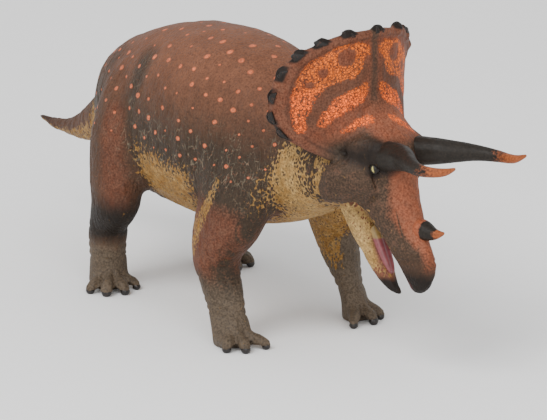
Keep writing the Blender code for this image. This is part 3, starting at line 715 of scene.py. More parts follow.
def body_fields(points, normals):
    """The paint on the trunk, neck, tail and legs, as shares from 0 to 1."""
    place = points - layout_origin()
    along, across, height = place.T
    side = np.abs(across)
    groups = {
        "trunk": ["torso"],
        "neck": ["neck"],
        "tail": ["tail_base", "tail_tip"],
        "fore": [part + "front_" + s for part in ("leg_", "foot_") for s in SIDES],
        "hind": [part + "hind_" + s for part in ("leg_", "foot_") for s in SIDES],
        "head": HEAD_NODES,
    }
    share = shares_of(points, groups, 1.8)
    mirrored = np.column_stack([along, side, height])
    wander = 1.2 * noise(points, 5.0, 31)
    speckle = 0.12 + 0.1 * noise(points, 3.0, 33)

    # How far a leg's surface faces inwards, and not forwards
    outward = normals[:, 1] * np.sign(across)
    inner = ramp(outward, 0.15, -0.5)
    inner_fore = inner * ramp(normals[:, 0], *np.where(across[:, None] > 0, (1.0, 0.75), (0.5, 0.1)).T)
    inner_hind = inner * ramp(normals[:, 0], 0.3, -0.2)
    strip = stroke(mirrored, ELBOW_STRIP, 0.4, 2.6)
    rear = stroke(mirrored, THIGH_REAR, 1.0, 3.4)

    hip = stroke(mirrored, HIP_BAND, 1.0, 9.0)
    rump = stroke(mirrored, RUMP_BAND, 2.0, 11.0)
    flank = ramp(height + wander, 74.0, 45.0)
    dark = share["trunk"] * np.maximum.reduce([flank, 0.9 * hip, 0.8 * rump])
    dark += share["neck"] * 0.9 * ramp(height, 68.0, 58.0)
    dark += share["fore"] * np.maximum(ramp(height, 66.0, 48.0), 0.55)
    knee = ramp(height, 11.0, 17.0) * ramp(height, 31.0, 22.0)
    low_thigh = 0.75 * ramp(height, 64.0, 48.0)
    dark += share["hind"] * np.maximum.reduce([hip * 0.9, rump * 0.9, knee, low_thigh])
    dark += share["tail"] * 0.75 + share["head"]

    thigh = stroke(mirrored, THIGH_PATCH, 0.5, 6.2)
    foreleg = ramp(height + wander, 40.0, 32.0) * ramp(height + wander, 13.0, 23.0)
    foreleg *= ramp(normals[:, 0], 0.9, 0.5) * (1 - inner) + 0.45 * inner
    rust = share["hind"] * thigh * (1 - inner) + share["fore"] * foreleg + share["tail"] * 0.2

    belly = ramp(height + wander, 49.0, 37.0)
    chest = along - (36.5 + 0.27 * (height - 35.0))
    throat = ramp(chest, -4.0, 5.0) * ramp(height, 64.0, 51.0)
    throat = throat * (1 - 0.38 * ramp(along, 46.0, 52.0) * ramp(height, 40.0, 48.0))
    ochre = share["trunk"] * np.maximum(belly, throat) + share["neck"] * throat
    ochre += share["fore"] * inner_fore * ramp(height + wander, 10.0, 20.0) * 0.9
    ochre += share["fore"] * 0.7 * throat * ramp(height, 34.0, 40.0)
    ochre += share["hind"] * inner_hind * ramp(height, 16.0, 26.0)
    ochre += share["tail"] * ramp(normals[:, 2], 0.35, -0.45) * 0.8
    ochre = np.maximum(ochre, np.maximum(strip, rear) * 0.75)
    ochre = np.maximum(ochre, speckle * (share["fore"] + share["hind"]) * ramp(height, 30.0, 18.0))

    # The chalky rubbing is strongest along the throat
    chalk = 0.1 + 0.22 * np.maximum(share["neck"], share["trunk"] * throat)
    ragged_height = height + wander
    dust = share["fore"] * ramp(ragged_height, 20.0, 9.0) + share["hind"] * ramp(ragged_height, 17.0, 9.0)
    far_shin = share["fore"] * ramp(ragged_height, 30.0, 17.0) * (across > 0)
    dust = np.maximum(dust, far_shin) + 0.3 * rust
    crack = share["trunk"] * np.maximum(ramp(height, 60.0, 47.0), 0.8 * hip)
    crack += share["fore"] * ramp(height, 34.0, 44.0) + share["neck"] * ramp(height, 50.0, 56.0)
    crack += share["hind"] * np.maximum(0.1, 0.8 * hip)

    upper = ramp(height, 34.0, 54.0)
    wanted = (height > 32.0) & (share["tail"] + share["head"] < 0.4) & (outward > -0.2)
    wanted &= (belly < 0.35) & (throat < 0.4)
    spot, number = strewn(points * (1.0, 1.0, 1.3), wanted, DAB_SPACING, 5)
    spot = spot / (0.42 + 0.5 * number * (0.35 + 0.65 * upper)) + (1 - upper) * 0.6
    spot = np.where(thigh * ramp(height, 46.0, 40.0) > 0.5, NO_MARK, np.minimum(spot, NO_MARK))
    nothing = np.zeros(len(points))
    return {
        "dark": dark,
        "rust": rust,
        "clay": nothing,
        "dust": dust,
        "coal": share["hind"] * knee * 0.85 + share["tail"] * ramp(along, -92.0, -100.0) * 0.5,
        "ochre": ochre,
        "chalk": chalk,
        "crack": crack,
        "spot": spot,
        "band": nothing + NO_MARK,
        "upper": nothing,
        "flesh": nothing,
    }


def frill_share(sideways, height):
    """How far out a place on the frill lies: 0 at its middle and 1 on its rim."""
    reach = np.where(height > FRILL_MIDDLE, FRILL_RISE, FRILL_DROP)
    across, upward = np.abs(sideways) / FRILL_HALF_WIDTH, np.abs(height - FRILL_MIDDLE) / reach
    return (across**FRILL_SQUARENESS + upward**FRILL_SQUARENESS) ** (1 / FRILL_SQUARENESS)


def head_fields(points, normals):
    """The paint on the head and frill, as shares from 0 to 1, and as millimetres from a band."""
    place = into_head(points)
    facing = normals @ head_axes().T
    forward, sideways, height = place.T
    side = np.abs(sideways)
    mirrored = np.column_stack([forward, side, height])
    groups = {
        "skull": ["head"],
        "beak": ["beak_upper"],
        "jaw": ["jaw_lower"],
        "chin": ["beak_lower"],
        "frill": ["frill"],
        "neck": ["neck"],
    }
    share = shares_of(points, groups, 1.0)
    nothing = np.zeros(len(points))

    front = ramp(facing[:, 0], -0.1, 0.25)
    top, foot = FRILL_STRIPE
    slant = np.clip((height - foot[1]) / (top[1] - foot[1]), 0.0, 1.0)
    from_stripe = sideways - foot[0] - slant * (top[0] - foot[0])
    flat = np.column_stack([np.abs(from_stripe), height])
    band = np.min([away_from(flat, path) for path in FRILL_BANDS], axis=0)
    for spot in EYE_SPOTS:
        band = np.maximum(band, -away_from(flat, [spot]))
    band = np.maximum(band, STRIPE_CLEARANCE - np.abs(from_stripe))
    banded = front * (share["frill"] + share["skull"]) > 0.5
    band = np.where(banded, np.minimum(band, NO_MARK), NO_MARK)
    stripe = 0.8 * ramp(np.abs(from_stripe), 2.1, 0.4) * ramp(height, 67.0, 72.0) * front

    rim = frill_share(sideways, height)
    margin = ramp(rim, 0.82, 0.94)
    crown = ramp(height, 59.0, 63.0) * ramp(height, 72.0, 65.0) * ramp(side, 8.5, 5.5)
    rise = np.clip(height - 34.0, 0.0, 8.0)
    bridge = ramp(side, 2.8 + 0.4 * rise, 1.4 + 0.32 * rise)
    bridge = bridge * ramp(facing[:, 0], -0.2, 0.4)
    low = ramp(height, 64.0, 57.5) * ramp(side, 17.5, 11.0)
    between = ramp(away_from(flat, FRILL_SHADE), 5.0, 1.5) * front
    brow = stroke(mirrored, BROW_PATCH, 3.4, 6.4)
    facing_on = np.column_stack([sideways, height])
    knob_places = [into_head(rim_place(math.radians(angle), 1.0))[1:] for angle in KNOB_ANGLES]
    from_knob = np.min([away_from(facing_on, [knob]) for knob in knob_places], axis=0)

    dark = share["skull"] * (1 - crown * 0.8) + share["beak"] * 0.8 + share["neck"] * 0.9
    dark += share["frill"] * np.maximum.reduce([low, stripe, 0.55 * between])
    rust = share["frill"] * (1 - low) * (1 - stripe) * (1 - 0.5 * between)
    rust += share["skull"] * np.maximum(crown, 0.2)
    clay = share["skull"] * ramp(height, 60.0, 54.0) + share["beak"] * ramp(height, 27.0, 33.0) * 0.5
    clay = clay * bridge
    clay = np.maximum(clay, 0.85 * crown * (share["skull"] + share["frill"]) * (1 - low))
    clay = np.maximum(clay, share["frill"] * 0.3 * (1 - low) * (1 - stripe) * (1 - between))
    behind = ramp(forward, 0.6, -1.6) * ramp(side, 12.6, 10.6) * ramp(height, 60.0, 55.0)
    ochre = share["jaw"] * ramp(height, 45.5, 41.5) * ramp(height, 24.5, 28.0)
    ochre += share["chin"] * ramp(height, 24.0, 28.0) * 0.7 + share["skull"] * behind * 0.85
    ochre += share["neck"] * ramp(height, 62.0, 52.0) * 0.85
    under = ramp(facing[:, 2], -0.2, -0.7) * ramp(height, 45.5, 43.0) * share["skull"]
    ochre = np.maximum(ochre, under * 0.8)
    ochre = np.maximum(ochre, 0.13 * share["skull"] * (1 - bridge) * ramp(height, 62.0, 56.0))
    coal = share["beak"] * ramp(height, 31.0, 26.5) + share["chin"] * ramp(height, 26.5, 24.0)
    coal = np.maximum(coal, brow * (1 - crown) * 0.9 * (share["skull"] + share["frill"]))
    coal = np.maximum(coal, share["frill"] * (0.4 * low + 0.35 * ramp(np.abs(rim - 0.9), 0.03, 0.0)))
    coal = np.maximum(coal, share["frill"] * ramp(rim, 0.97, 1.0) * ramp(from_knob, 2.7, 1.7))
    coal = np.maximum(coal, 0.8 * ramp(away_from(mirrored, [EYE_PLACE]), 3.4, 1.8))
    inside = ramp(facing[:, 0], -0.1, 0.5) * ramp(side, 3.0, 2.0) * ramp(height, 36.5, 34.5)
    roof = ramp(facing[:, 0], 0.0, -0.6) * ramp(side, 2.6, 1.6) * ramp(height, 40.0, 36.0)
    return {
        "dark": dark,
        "rust": rust,
        "clay": clay,
        "dust": share["skull"] * 0.25 + share["frill"] * (0.15 + 0.15 * margin),
        "coal": coal,
        "ochre": ochre,
        "chalk": 0.2 + 0.35 * share["jaw"] * ramp(forward, 10.0, 4.0),
        "crack": nothing,
        "spot": nothing + NO_MARK,
        "band": band,
        "upper": ramp(height, 70.0, 76.0),
        "flesh": share["jaw"] * inside + (share["skull"] + share["beak"]) * roof,
    }


def every_toe():
    """Each hooved toe's foot, direction, reach and half width, and the direction of the cleft beside it."""
    for places, toes in ((FRONT_FEET, FRONT_TOES), (HIND_FEET, HIND_TOES)):
        for side, sign in SIDES.items():
            foot = np.array((*places[side], 0.0))
            for i, (bearing, reach, half_width) in enumerate(toes):
                angles = [math.radians(TOE_SPLAY - bearing)]
                if i + 1 < len(toes):
                    angles.append(math.radians(TOE_SPLAY - (bearing + toes[i + 1][0]) / 2))
                ways = [np.array((math.cos(angle), sign * math.sin(angle), 0.0)) for angle in angles]
                yield foot, ways[0], reach, half_width, ways[1] if len(ways) > 1 else None


def body_relief(points):
    """How far the body's skin is pushed out, in millimetres: muscles, folds and wrinkles."""
    place = points - layout_origin()
    along, across, height = place.T
    mirrored = np.column_stack([along, np.abs(across), height])
    relief = 0.20 * noise(points, 6.0, 3) + 0.10 * noise(points, 2.6, 4)
    stretched = points * np.array((1.0, 1.0, 0.35))
    wrinkle = 1 - np.abs(noise(stretched, 2.6, 6))
    relief -= 0.25 * ramp(wrinkle, 0.8, 1.0) * ramp(height, 14.0, 30.0) * ramp(height, 72.0, 55.0)
    for path, width, depth in BODY_FOLDS:
        relief -= depth * stroke(mirrored, path, 0.0, width)
        relief += 0.45 * depth * np.exp(-(((away_from(mirrored, path) - 1.5 * width) / width) ** 2))
    for level, depth in ANKLE_FOLDS:
        wander = level + 0.7 * noise(points, 5.0, 9)
        relief -= depth * np.exp(-(((height - wander) / 0.45) ** 2))

    # Clefts between the toes, and a bed for each nail
    for foot, ahead, reach, half_width, cleft in every_toe():
        start, end = foot + ahead * (reach - 1.6), foot + ahead * (reach + 1.0)
        bed = away_from(place, [(*start[:2], 0.8), (*end[:2], 0.8)])
        relief -= 0.25 * ramp(bed, half_width * 0.62 + 0.4, half_width * 0.62)
        if cleft is not None:
            ends = [(foot + cleft * far)[:2] for far in (4.0, reach + 1.0)]
            gap = away_from(place[:, :2], ends)
            relief -= 1.1 * ramp(gap, 1.1, 0.0) * ramp(height, 7.0, 3.6)
    return relief


def head_relief(points):
    """How far the head's skin is pushed out, in millimetres: lids, nostrils, creases and rim folds."""
    place = into_head(points)
    forward, sideways, height = place.T
    mirrored = np.column_stack([forward, np.abs(sideways), height])
    relief = 0.16 * noise(points, 4.0, 11) + 0.08 * noise(points, 1.7, 12)
    eye = away_from(mirrored, [EYE_PLACE])
    relief += 0.3 * np.exp(-(((eye - 2.1) / 0.6) ** 2))
    relief -= 0.45 * ramp(away_from(mirrored, [NOSTRIL]), 1.5, 0.5)
    for path, width, depth in HEAD_FOLDS:
        relief -= depth * stroke(mirrored, path, 0.0, width)
        relief += 0.4 * depth * np.exp(-(((away_from(mirrored, path) - 1.5 * width) / width) ** 2))

    # The frill's rim stands up behind a groove, and is puckered between its knobs
    rim = frill_share(sideways, height)
    angle = np.arctan2(sideways, height - FRILL_MIDDLE)
    frill = ramp(distance_to(points, ["frill"]), 1.2, 0.3)
    pucker = noise(np.column_stack([angle * 9.0, rim * 4.0, rim * 0.0]), 1.0, 14)
    relief += frill * ramp(rim, 0.80, 0.97) * (0.3 + 0.4 * pucker)
    relief -= frill * SIDE_RIM_DRAW * ramp(rim, 0.97, 1.03) * side_share(angle)
    relief -= frill * 0.35 * np.exp(-(((rim - 0.86) / 0.03) ** 2))
    relief += frill * 0.22 * noise(np.column_stack([angle * 5.0, rim * 2.0, rim * 0.0]), 1.0, 15)
    return relief


class FIGURE_OT_body_hide(bpy.types.Operator):
    """Fuses the trunk, neck, tail, legs and feet into one hide, folds it and paints it"""

    bl_idname = "figure.body_hide"
    bl_label = "Body hide"

    def execute(self, context):
        settings = context.scene.figure_hide
        hide = fused_copy("body_hide", [*BODY_NODES, "head"], settings.body_grain, BODY_CLOSING)
        trim(hide, BODY_NODES, BODY_REACH)
        even_out(hide.data, SMOOTHING_ROUNDS)
        points, normals = points_of(hide.data)
        set_points(hide.data, points + normals * body_relief(points)[:, None])
        reach_tail_tip(hide)
        settle(hide)
        points, normals = points_of(hide.data)
        for name, values in body_fields(points, normals).items():
            set_field(hide.data, name, values)
        finish_piece(hide, "body_hide", hide_material(settings), BODY_NODES)
        return {"FINISHED"}


class FIGURE_OT_head_hide(bpy.types.Operator):
    """Fuses the head, jaw, beak and frill into one hide, shapes its features and paints it"""

    bl_idname = "figure.head_hide"
    bl_label = "Head hide"

    def execute(self, context):
        settings = context.scene.figure_hide
        hide = fused_copy("head_hide", [*HEAD_NODES, "neck"], settings.head_grain, HEAD_CLOSING)
        trim(hide, HEAD_NODES, HEAD_REACH)
        even_out(hide.data, SMOOTHING_ROUNDS)
        points, normals = points_of(hide.data)
        set_points(hide.data, close_lids(points + normals * head_relief(points)[:, None]))
        settle(hide)
        points, normals = points_of(hide.data)
        for name, values in head_fields(points, normals).items():
            set_field(hide.data, name, values)
        finish_piece(hide, "head_hide", hide_material(settings), HEAD_NODES)
        return {"FINISHED"}


def settle(obj):
    """Keeps every point within the box round all the CAD nodes."""
    corners = np.array([[corner[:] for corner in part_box(name)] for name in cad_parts]) / MM
    set_points(obj.data, np.clip(points_of(obj.data)[0], corners.min(axis=(0, 1)), corners.max(axis=(0, 1))))


def reach_tail_tip(obj):
    """Draws the tail out again to where its solid ends, as rounding the hide shortens it."""
    points = points_of(obj.data)[0]
    end = points[:, 0].min()
    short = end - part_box("tail_tip")[0].x / MM
    points[:, 0] -= short * ramp(points[:, 0], end + 16.0, end)
    set_points(obj.data, points)


def hide_material(settings):
    """The hide's material, made once for both hides."""
    return bpy.data.materials.get("painted_soft_vinyl") or painted_vinyl(settings)


def drawn_out(name, places, radii, sides, rounds):
    """A round bar drawn out ring by ring along places, closed at both ends and rounded."""
    start, heading = Vector(places[0]) * MM, Vector(places[-1] - places[0])
    bpy.ops.object.select_all(action="DESELECT")
    bpy.ops.mesh.primitive_circle_add(
        vertices=sides,
        radius=radii[0] * MM,
        fill_type="NGON",
        location=start,
        rotation=heading.to_track_quat("Z", "Y").to_euler(),
    )
    bar = bpy.context.object
    bpy.ops.object.transform_apply(location=True, rotation=True, scale=True)
    bpy.ops.object.mode_set(mode="EDIT")
    bpy.ops.mesh.select_all(action="SELECT")
    for i in range(1, len(places)):
        step = Vector(places[i] - places[i - 1]) * MM
        bpy.ops.mesh.extrude_region_move(TRANSFORM_OT_translate={"value": step})
        share = radii[i] / radii[i - 1]
        bpy.ops.transform.resize(value=(share, share, share), center_override=Vector(places[i]) * MM)
    bpy.ops.mesh.select_all(action="SELECT")
    bpy.ops.mesh.normals_make_consistent(inside=False)
    bpy.ops.object.mode_set(mode="OBJECT")
    bar.name = name
    if rounds:
        finer = bar.modifiers.new("round", "SUBSURF")
        finer.levels = finer.render_levels = rounds
        apply_modifiers(bar)
    return bar


def horn_vinyl(settings):
    """Hard-looking horn painted on vinyl: satin charcoal, streaked lengthwise, with a bare red-brown tip."""
    material, tree, shader = new_material("satin_painted_horn", 0.5, Specular_IOR_Level=0.22)
    place = add(tree, "ShaderNodeTexCoord", output=3)
    # Streaks are about 0.6 mm, and scuffs about 1.6 mm
    streak = cloud(tree, place, 0.6, 3.0)
    scuff = cloud(tree, place, 1.6, 4.0)
    ragged = reckon(tree, "ADD", scuff, streak)
    tip = reckon(tree, "MULTIPLY_ADD", ragged, 0.2, field(tree, "along"))
    tip = spread(tree, tip, 0.93, 1.03)
    root = reckon(tree, "MULTIPLY_ADD", ragged, 0.5, field(tree, "root"))
    root = spread(tree, root, 0.85, 1.15)
    coat = laid_over(tree, tip, settings.shaft, settings.tip)
    coat = laid_over(tree, root, coat, settings.root)
    tone = spread(tree, streak, 0.3, 0.7, 0.7, 1.4)
    coat = toned(tree, coat, tone)
    tree.links.new(coat, shader.inputs["Base Color"])
    gloss = spread(tree, scuff, 0.3, 0.7, 0.4, 0.62)
    tree.links.new(gloss, shader.inputs["Roughness"])
    emboss(tree, shader, streak, 0.5, 0.1)
    return material


class FIGURE_OT_horns(bpy.types.Operator):
    """Draws out the two brow horns and the nose horn, grooves them and paints them"""

    bl_idname = "figure.horns"
    bl_label = "Horns"

    def execute(self, context):
        settings = context.scene.figure_horns
        material = horn_vinyl(settings)
        horns = [("horn_nose", NOSE_HORN, 1)]
        horns += [("horn_brow_" + side, BROW_HORN, sign) for side, sign in SIDES.items()]
        for name, rows, sign in horns:
            rows = smooth_rows(rows, 3)
            places = np.array([head_point(row[0], sign * row[1], row[2]) for row in rows])
            horn = drawn_out(name, places, rows[:, 3], 16, 2)
            points, normals = points_of(horn.data)
            ring = np.argmin(np.linalg.norm(points[:, None] - places, axis=2), axis=1)
            along = ring / (len(rows) - 1)
            level = into_head(points) - rows[ring, :3] * (1, sign, 1)
            angle = np.arctan2(level[:, 2], level[:, 1])
            groove = np.abs(np.sin(angle * 7 + 0.8 * np.sin(along * 7)))
            push = (groove - 0.7) * settings.groove / MM * (1 - along)
            push += 0.12 * noise(points, 2.2, 21) * (1 - along)
            set_points(horn.data, points + normals * push[:, None])
            forward = into_head(points)[:, 0]
            set_field(horn.data, "along", (forward - rows[0, 0]) / (rows[-1, 0] - rows[0, 0]))
            root = ramp(forward, 12.5, 8.5) * ramp(-sign * level[:, 1], -0.5, 2.0) * 0.8
            set_field(horn.data, "root", ramp(forward, 23.9, 22.1) if name == "horn_nose" else root)
            finish_piece(horn, name + "_piece", material, [name])
        return {"FINISHED"}


def close_lids(points):
    """Draws the skin round each eye in until it meets the eyeball."""
    under = EYE_RADIUS - 0.15
    for side in SIDES:
        middle = np.array(sum(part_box("eye_" + side), Vector()) / 2) / MM
        arms = points - middle
        far = np.maximum(np.linalg.norm(arms, axis=1), 0.01)
        drawn = under + (far - under) * ramp(far, EYE_RADIUS + 0.3, EYE_RADIUS + 1.3)
        points = np.where((far < EYE_RADIUS + 1.3)[:, None], middle + arms * (drawn / far)[:, None], points)
    return points


def side_share(angle):
    """0 on the frill's top, and 1 down its sides, where its rim is drawn in."""
    return ramp(np.abs(angle), math.radians(50.0), math.radians(80.0))


def rim_place(angle, grow):
    """A place on the frill's rim by its angle from the top."""
    across = math.copysign(abs(math.sin(angle)) ** (2 / FRILL_SQUARENESS), math.sin(angle))
    upward = math.copysign(abs(math.cos(angle)) ** (2 / FRILL_SQUARENESS), math.cos(angle))
    sideways = across * FRILL_HALF_WIDTH * grow
    height = FRILL_MIDDLE + upward * (FRILL_RISE if upward > 0 else FRILL_DROP) * grow
    heights, middles, sweeps = np.array(FRILL_SLOPE).T
    forward = np.interp(height, heights, middles) - np.interp(height, heights, sweeps) * sideways**2
    return head_point(forward - FRILL_RIM_THICKNESS / 2, sideways, height)


def dark_knob_vinyl(settings):
    """Knobs painted near black on vinyl, with scuffed brown showing through in patches."""
    material, tree, shader = new_material("scuffed_black_vinyl", 0.55, Specular_IOR_Level=0.3)
    place = add(tree, "ShaderNodeTexCoord", output=3)
    # Scuffs are about 0.6 mm
    scuff = cloud(tree, place, 0.6, 4.0)
    share = spread(tree, scuff, 0.5, 0.72, 0.0, 0.6)
    coat = laid_over(tree, share, settings.coat, linear("#4a2c1e"))
    tree.links.new(coat, shader.inputs["Base Color"])
    emboss(tree, shader, scuff, 0.7, 0.12)
    return material


class FIGURE_OT_knobs(bpy.types.Operator):
    """Models one flattened pyramid and copies it round the frill's rim"""

    bl_idname = "figure.knobs"
    bl_label = "Frill knobs"

    def execute(self, context):
        settings = context.scene.figure_knobs
        material = dark_knob_vinyl(settings)
        bpy.ops.object.select_all(action="DESELECT")
        bpy.ops.mesh.primitive_cube_add(size=1)
        pattern = context.object
        bpy.ops.object.mode_set(mode="EDIT")
        bpy.ops.mesh.select_all(action="DESELECT")
        bpy.ops.object.mode_set(mode="OBJECT")
        for face in pattern.data.polygons:
            face.select = face.normal.z > 0.9
        bpy.ops.object.mode_set(mode="EDIT")
        bpy.ops.mesh.select_mode(type="FACE")
        bpy.ops.transform.resize(value=KNOB_TAPER)
        bpy.ops.mesh.select_all(action="SELECT")
        bpy.ops.mesh.bevel(offset=KNOB_ROUNDING, segments=3, affect="EDGES")
        bpy.ops.mesh.subdivide(number_cuts=1, smoothness=0.6)
        bpy.ops.object.mode_set(mode="OBJECT")
        shape = pattern.data
        for number, degrees in enumerate(KNOB_ANGLES):
            angle = math.radians(degrees)
            rim = rim_place(angle, 1.0)
            outward = rim - rim_place(angle, 0.93)
            outward /= np.linalg.norm(outward)
            rim = rim - outward * SIDE_KNOB_DRAW * side_share(angle)
            rise = settings.rise / MM * (1 - 0.4 * side_share(angle))
            foot, tip = rim - outward * settings.root / MM, rim + outward * rise
            along = Vector(rim_place(angle + 0.02, 1.0) - rim_place(angle - 0.02, 1.0)).normalized()
            up = Vector(tip - foot).normalized()
            deep = along.cross(up).normalized()
            turn = Matrix((along, deep, up)).transposed().to_4x4()
            size = Matrix.Diagonal(
                (settings.width, FRILL_RIM_THICKNESS * 1.25 * MM, np.linalg.norm(tip - foot) * MM, 1.0)
            )
            knob = bpy.data.objects.new("frill_knob", shape.copy())
            context.scene.collection.objects.link(knob)
            middle = Matrix.Translation(Vector((foot + tip) / 2) * MM)
            knob.data.transform(middle @ turn @ size)
            settle(knob)
            only(knob)
            bpy.ops.object.mode_set(mode="EDIT")
            bpy.ops.mesh.select_all(action="SELECT")
            bpy.ops.mesh.normals_make_consistent(inside=False)
            bpy.ops.object.mode_set(mode="OBJECT")
            finish_piece(knob, "frill_knob_%02d" % (number + 1), material)
        bpy.data.objects.remove(pattern)
        return {"FINISHED"}


def nail_vinyl(settings):
    """Nails painted near black on vinyl, a little glossier than the hide, with brown rubbed through."""
    material, tree, shader = new_material("glossy_black_nail", 0.34, Specular_IOR_Level=0.5)
    place = add(tree, "ShaderNodeTexCoord", output=3)
    # Rubbed patches are about 0.7 mm
    rub = cloud(tree, place, 0.7, 3.0)
    share = spread(tree, rub, 0.5, 0.8, 0.0, 0.5)
    coat = laid_over(tree, share, settings.coat, linear("#3a2a22"))
    tree.links.new(coat, shader.inputs["Base Color"])
    emboss(tree, shader, rub, 0.4, 0.08)
    return material


class FIGURE_OT_nails(bpy.types.Operator):
    """Shapes one blunt nail, flat below and behind, and copies it to the end of every hooved toe"""

    bl_idname = "figure.nails"
    bl_label = "Nails"

    def execute(self, context):
        settings = context.scene.figure_nails
        material = nail_vinyl(settings)
        proud = settings.proud / MM
        origin = layout_origin()
        bpy.ops.object.select_all(action="DESELECT")
        bpy.ops.mesh.primitive_uv_sphere_add(segments=24, ring_count=14, radius=1.0)
        pattern = context.object
        bpy.ops.object.mode_set(mode="EDIT")
        for low, away in (((0, 0, -0.8), (0, 0, 1)), ((-0.6, 0, 0), (1, 0, 0))):
            bpy.ops.mesh.select_all(action="SELECT")
            bpy.ops.mesh.bisect(plane_co=low, plane_no=away, use_fill=True, clear_inner=True)
        bpy.ops.mesh.select_all(action="SELECT")
        bpy.ops.mesh.normals_make_consistent(inside=False)
        bpy.ops.object.mode_set(mode="OBJECT")
        for count, (foot, ahead, reach, half_width, _) in enumerate(every_toe()):
            middle = foot + ahead * (reach - NAIL_SETBACK) + origin
            middle[2] = half_width * NAIL_MIDDLE
            nail = bpy.data.objects.new("nail", pattern.data.copy())
            context.scene.collection.objects.link(nail)
            half_sizes = (NAIL_HALF_LENGTH, half_width * NAIL_HALF_WIDTH, half_width * NAIL_HALF_HEIGHT)
            size = Matrix.Diagonal([(half + proud) * MM for half in half_sizes] + [1.0])
            turn = Vector(ahead).to_track_quat("X", "Z").to_matrix().to_4x4()
            nail.data.transform(Matrix.Translation(Vector(middle) * MM) @ turn @ size)
            settle(nail)
            finish_piece(nail, "nail_%02d" % (count + 1), material)
        bpy.data.objects.remove(pattern)
        return {"FINISHED"}


def eye_gloss(settings):
    """Eyes painted near black with a pale yellow slit, under satin varnish that catches a little light."""
    material, tree, shader = new_material("varnished_eye", 0.38, Specular_IOR_Level=0.3)
    place = add(tree, "ShaderNodeTexCoord", output=3)
    # Flecks in the iris are about 0.3 mm
    fleck = cloud(tree, place, 0.3, 2.0)
    slit = reckon(tree, "MULTIPLY_ADD", fleck, 0.15, field(tree, "from_slit"))
    slit = spread(tree, slit, 0.24, 0.36)
    tone = spread(tree, fleck, 0.3, 0.7, 0.8, 1.15)
    coat = toned(tree, settings.iris[:3], tone)
    coat = laid_over(tree, slit, coat, settings.pupil)
    tree.links.new(coat, shader.inputs["Base Color"])
    return material


class FIGURE_OT_eyes(bpy.types.Operator):
    """Rounds an eye in each socket, with its slit upright"""

    bl_idname = "figure.eyes"
    bl_label = "Eyes"

    def execute(self, context):
        material = eye_gloss(context.scene.figure_eyes)
        for side in SIDES:
            low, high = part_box("eye_" + side)
            bpy.ops.object.select_all(action="DESELECT")
            bpy.ops.mesh.primitive_uv_sphere_add(segments=32, ring_count=20, radius=EYE_RADIUS * MM)
            eye = context.object
            eye.data.transform(Matrix.Translation((low + high) / 2))
            place = into_head(points_of(eye.data)[0])
            ahead, above = place[:, 0] - EYE_PLACE[0] - 0.6, place[:, 2] - EYE_PLACE[2] - 0.1
            set_field(eye.data, "from_slit", np.hypot(ahead + 0.3 * above, above * 0.3))
            finish_piece(eye, "eyeball_" + side, material, ["eye_" + side])
        return {"FINISHED"}


def tongue_vinyl(settings):
    """Tongue painted dull pink with a satin wash in uneven darker and lighter patches."""
    material, tree, shader = new_material("satin_pink_vinyl", 0.38, Specular_IOR_Level=0.5)
    place = add(tree, "ShaderNodeTexCoord", output=3)
    # The wash's patches are about 1.2 mm across
    wash = cloud(tree, place, 1.2, 3.0)
    tone = spread(tree, wash, 0.3, 0.7, 0.75, 1.2)
    ragged = reckon(tree, "MULTIPLY_ADD", wash, 0.6, field(tree, "pink"))
    share = spread(tree, ragged, 0.6, 1.0)
    coat = laid_over(tree, share, settings.back, settings.coat)
    coat = toned(tree, coat, tone)
    tree.links.new(coat, shader.inputs["Base Color"])
    emboss(tree, shader, wash, 0.4, 0.1)
    return material


class FIGURE_OT_tongue(bpy.types.Operator):
    """Draws out the tongue along the jaw's trough, with a groove down its middle and skin-coloured behind"""

    bl_idname = "figure.tongue"
    bl_label = "Tongue"

    def execute(self, context):
        rows = smooth_rows(TONGUE, 3)
        places = np.array([head_point(row[0], 0, row[1]) for row in rows])
        tongue = drawn_out("tongue", places, rows[:, 2], 16, 2)
        place = into_head(points_of(tongue.data)[0])
        line = np.interp(place[:, 2], rows[::-1, 1], rows[::-1, 0])
        place[:, 0] = line + (place[:, 0] - line) * 0.6
        place[:, 0] -= 0.35 * ramp(np.abs(place[:, 1]), 0.9, 0.0) * (place[:, 0] > line)
        set_points(tongue.data, place @ head_axes() + head_origin())
        set_field(tongue.data, "pink", ramp(place[:, 2], 35.4, 34.0))
        finish_piece(tongue, "tongue_piece", tongue_vinyl(context.scene.figure_tongue), ["tongue"])
        return {"FINISHED"}


def stage_paint(settings):
    """Matt white paper sweep: an even, glareless white."""
    material, tree, shader = new_material("white_paper_sweep", 0.9, Specular_IOR_Level=0.1)
    place = add(tree, "ShaderNodeTexCoord", output=3)
    # Paper tooth is about 4 mm
    tooth = cloud(tree, place, 4.0, 2.0)
    tone = spread(tree, tooth, 0.3, 0.7, 0.99, 1.0)
    coat = toned(tree, settings.floor[:3], tone)
    tree.links.new(coat, shader.inputs["Base Color"])
    return material


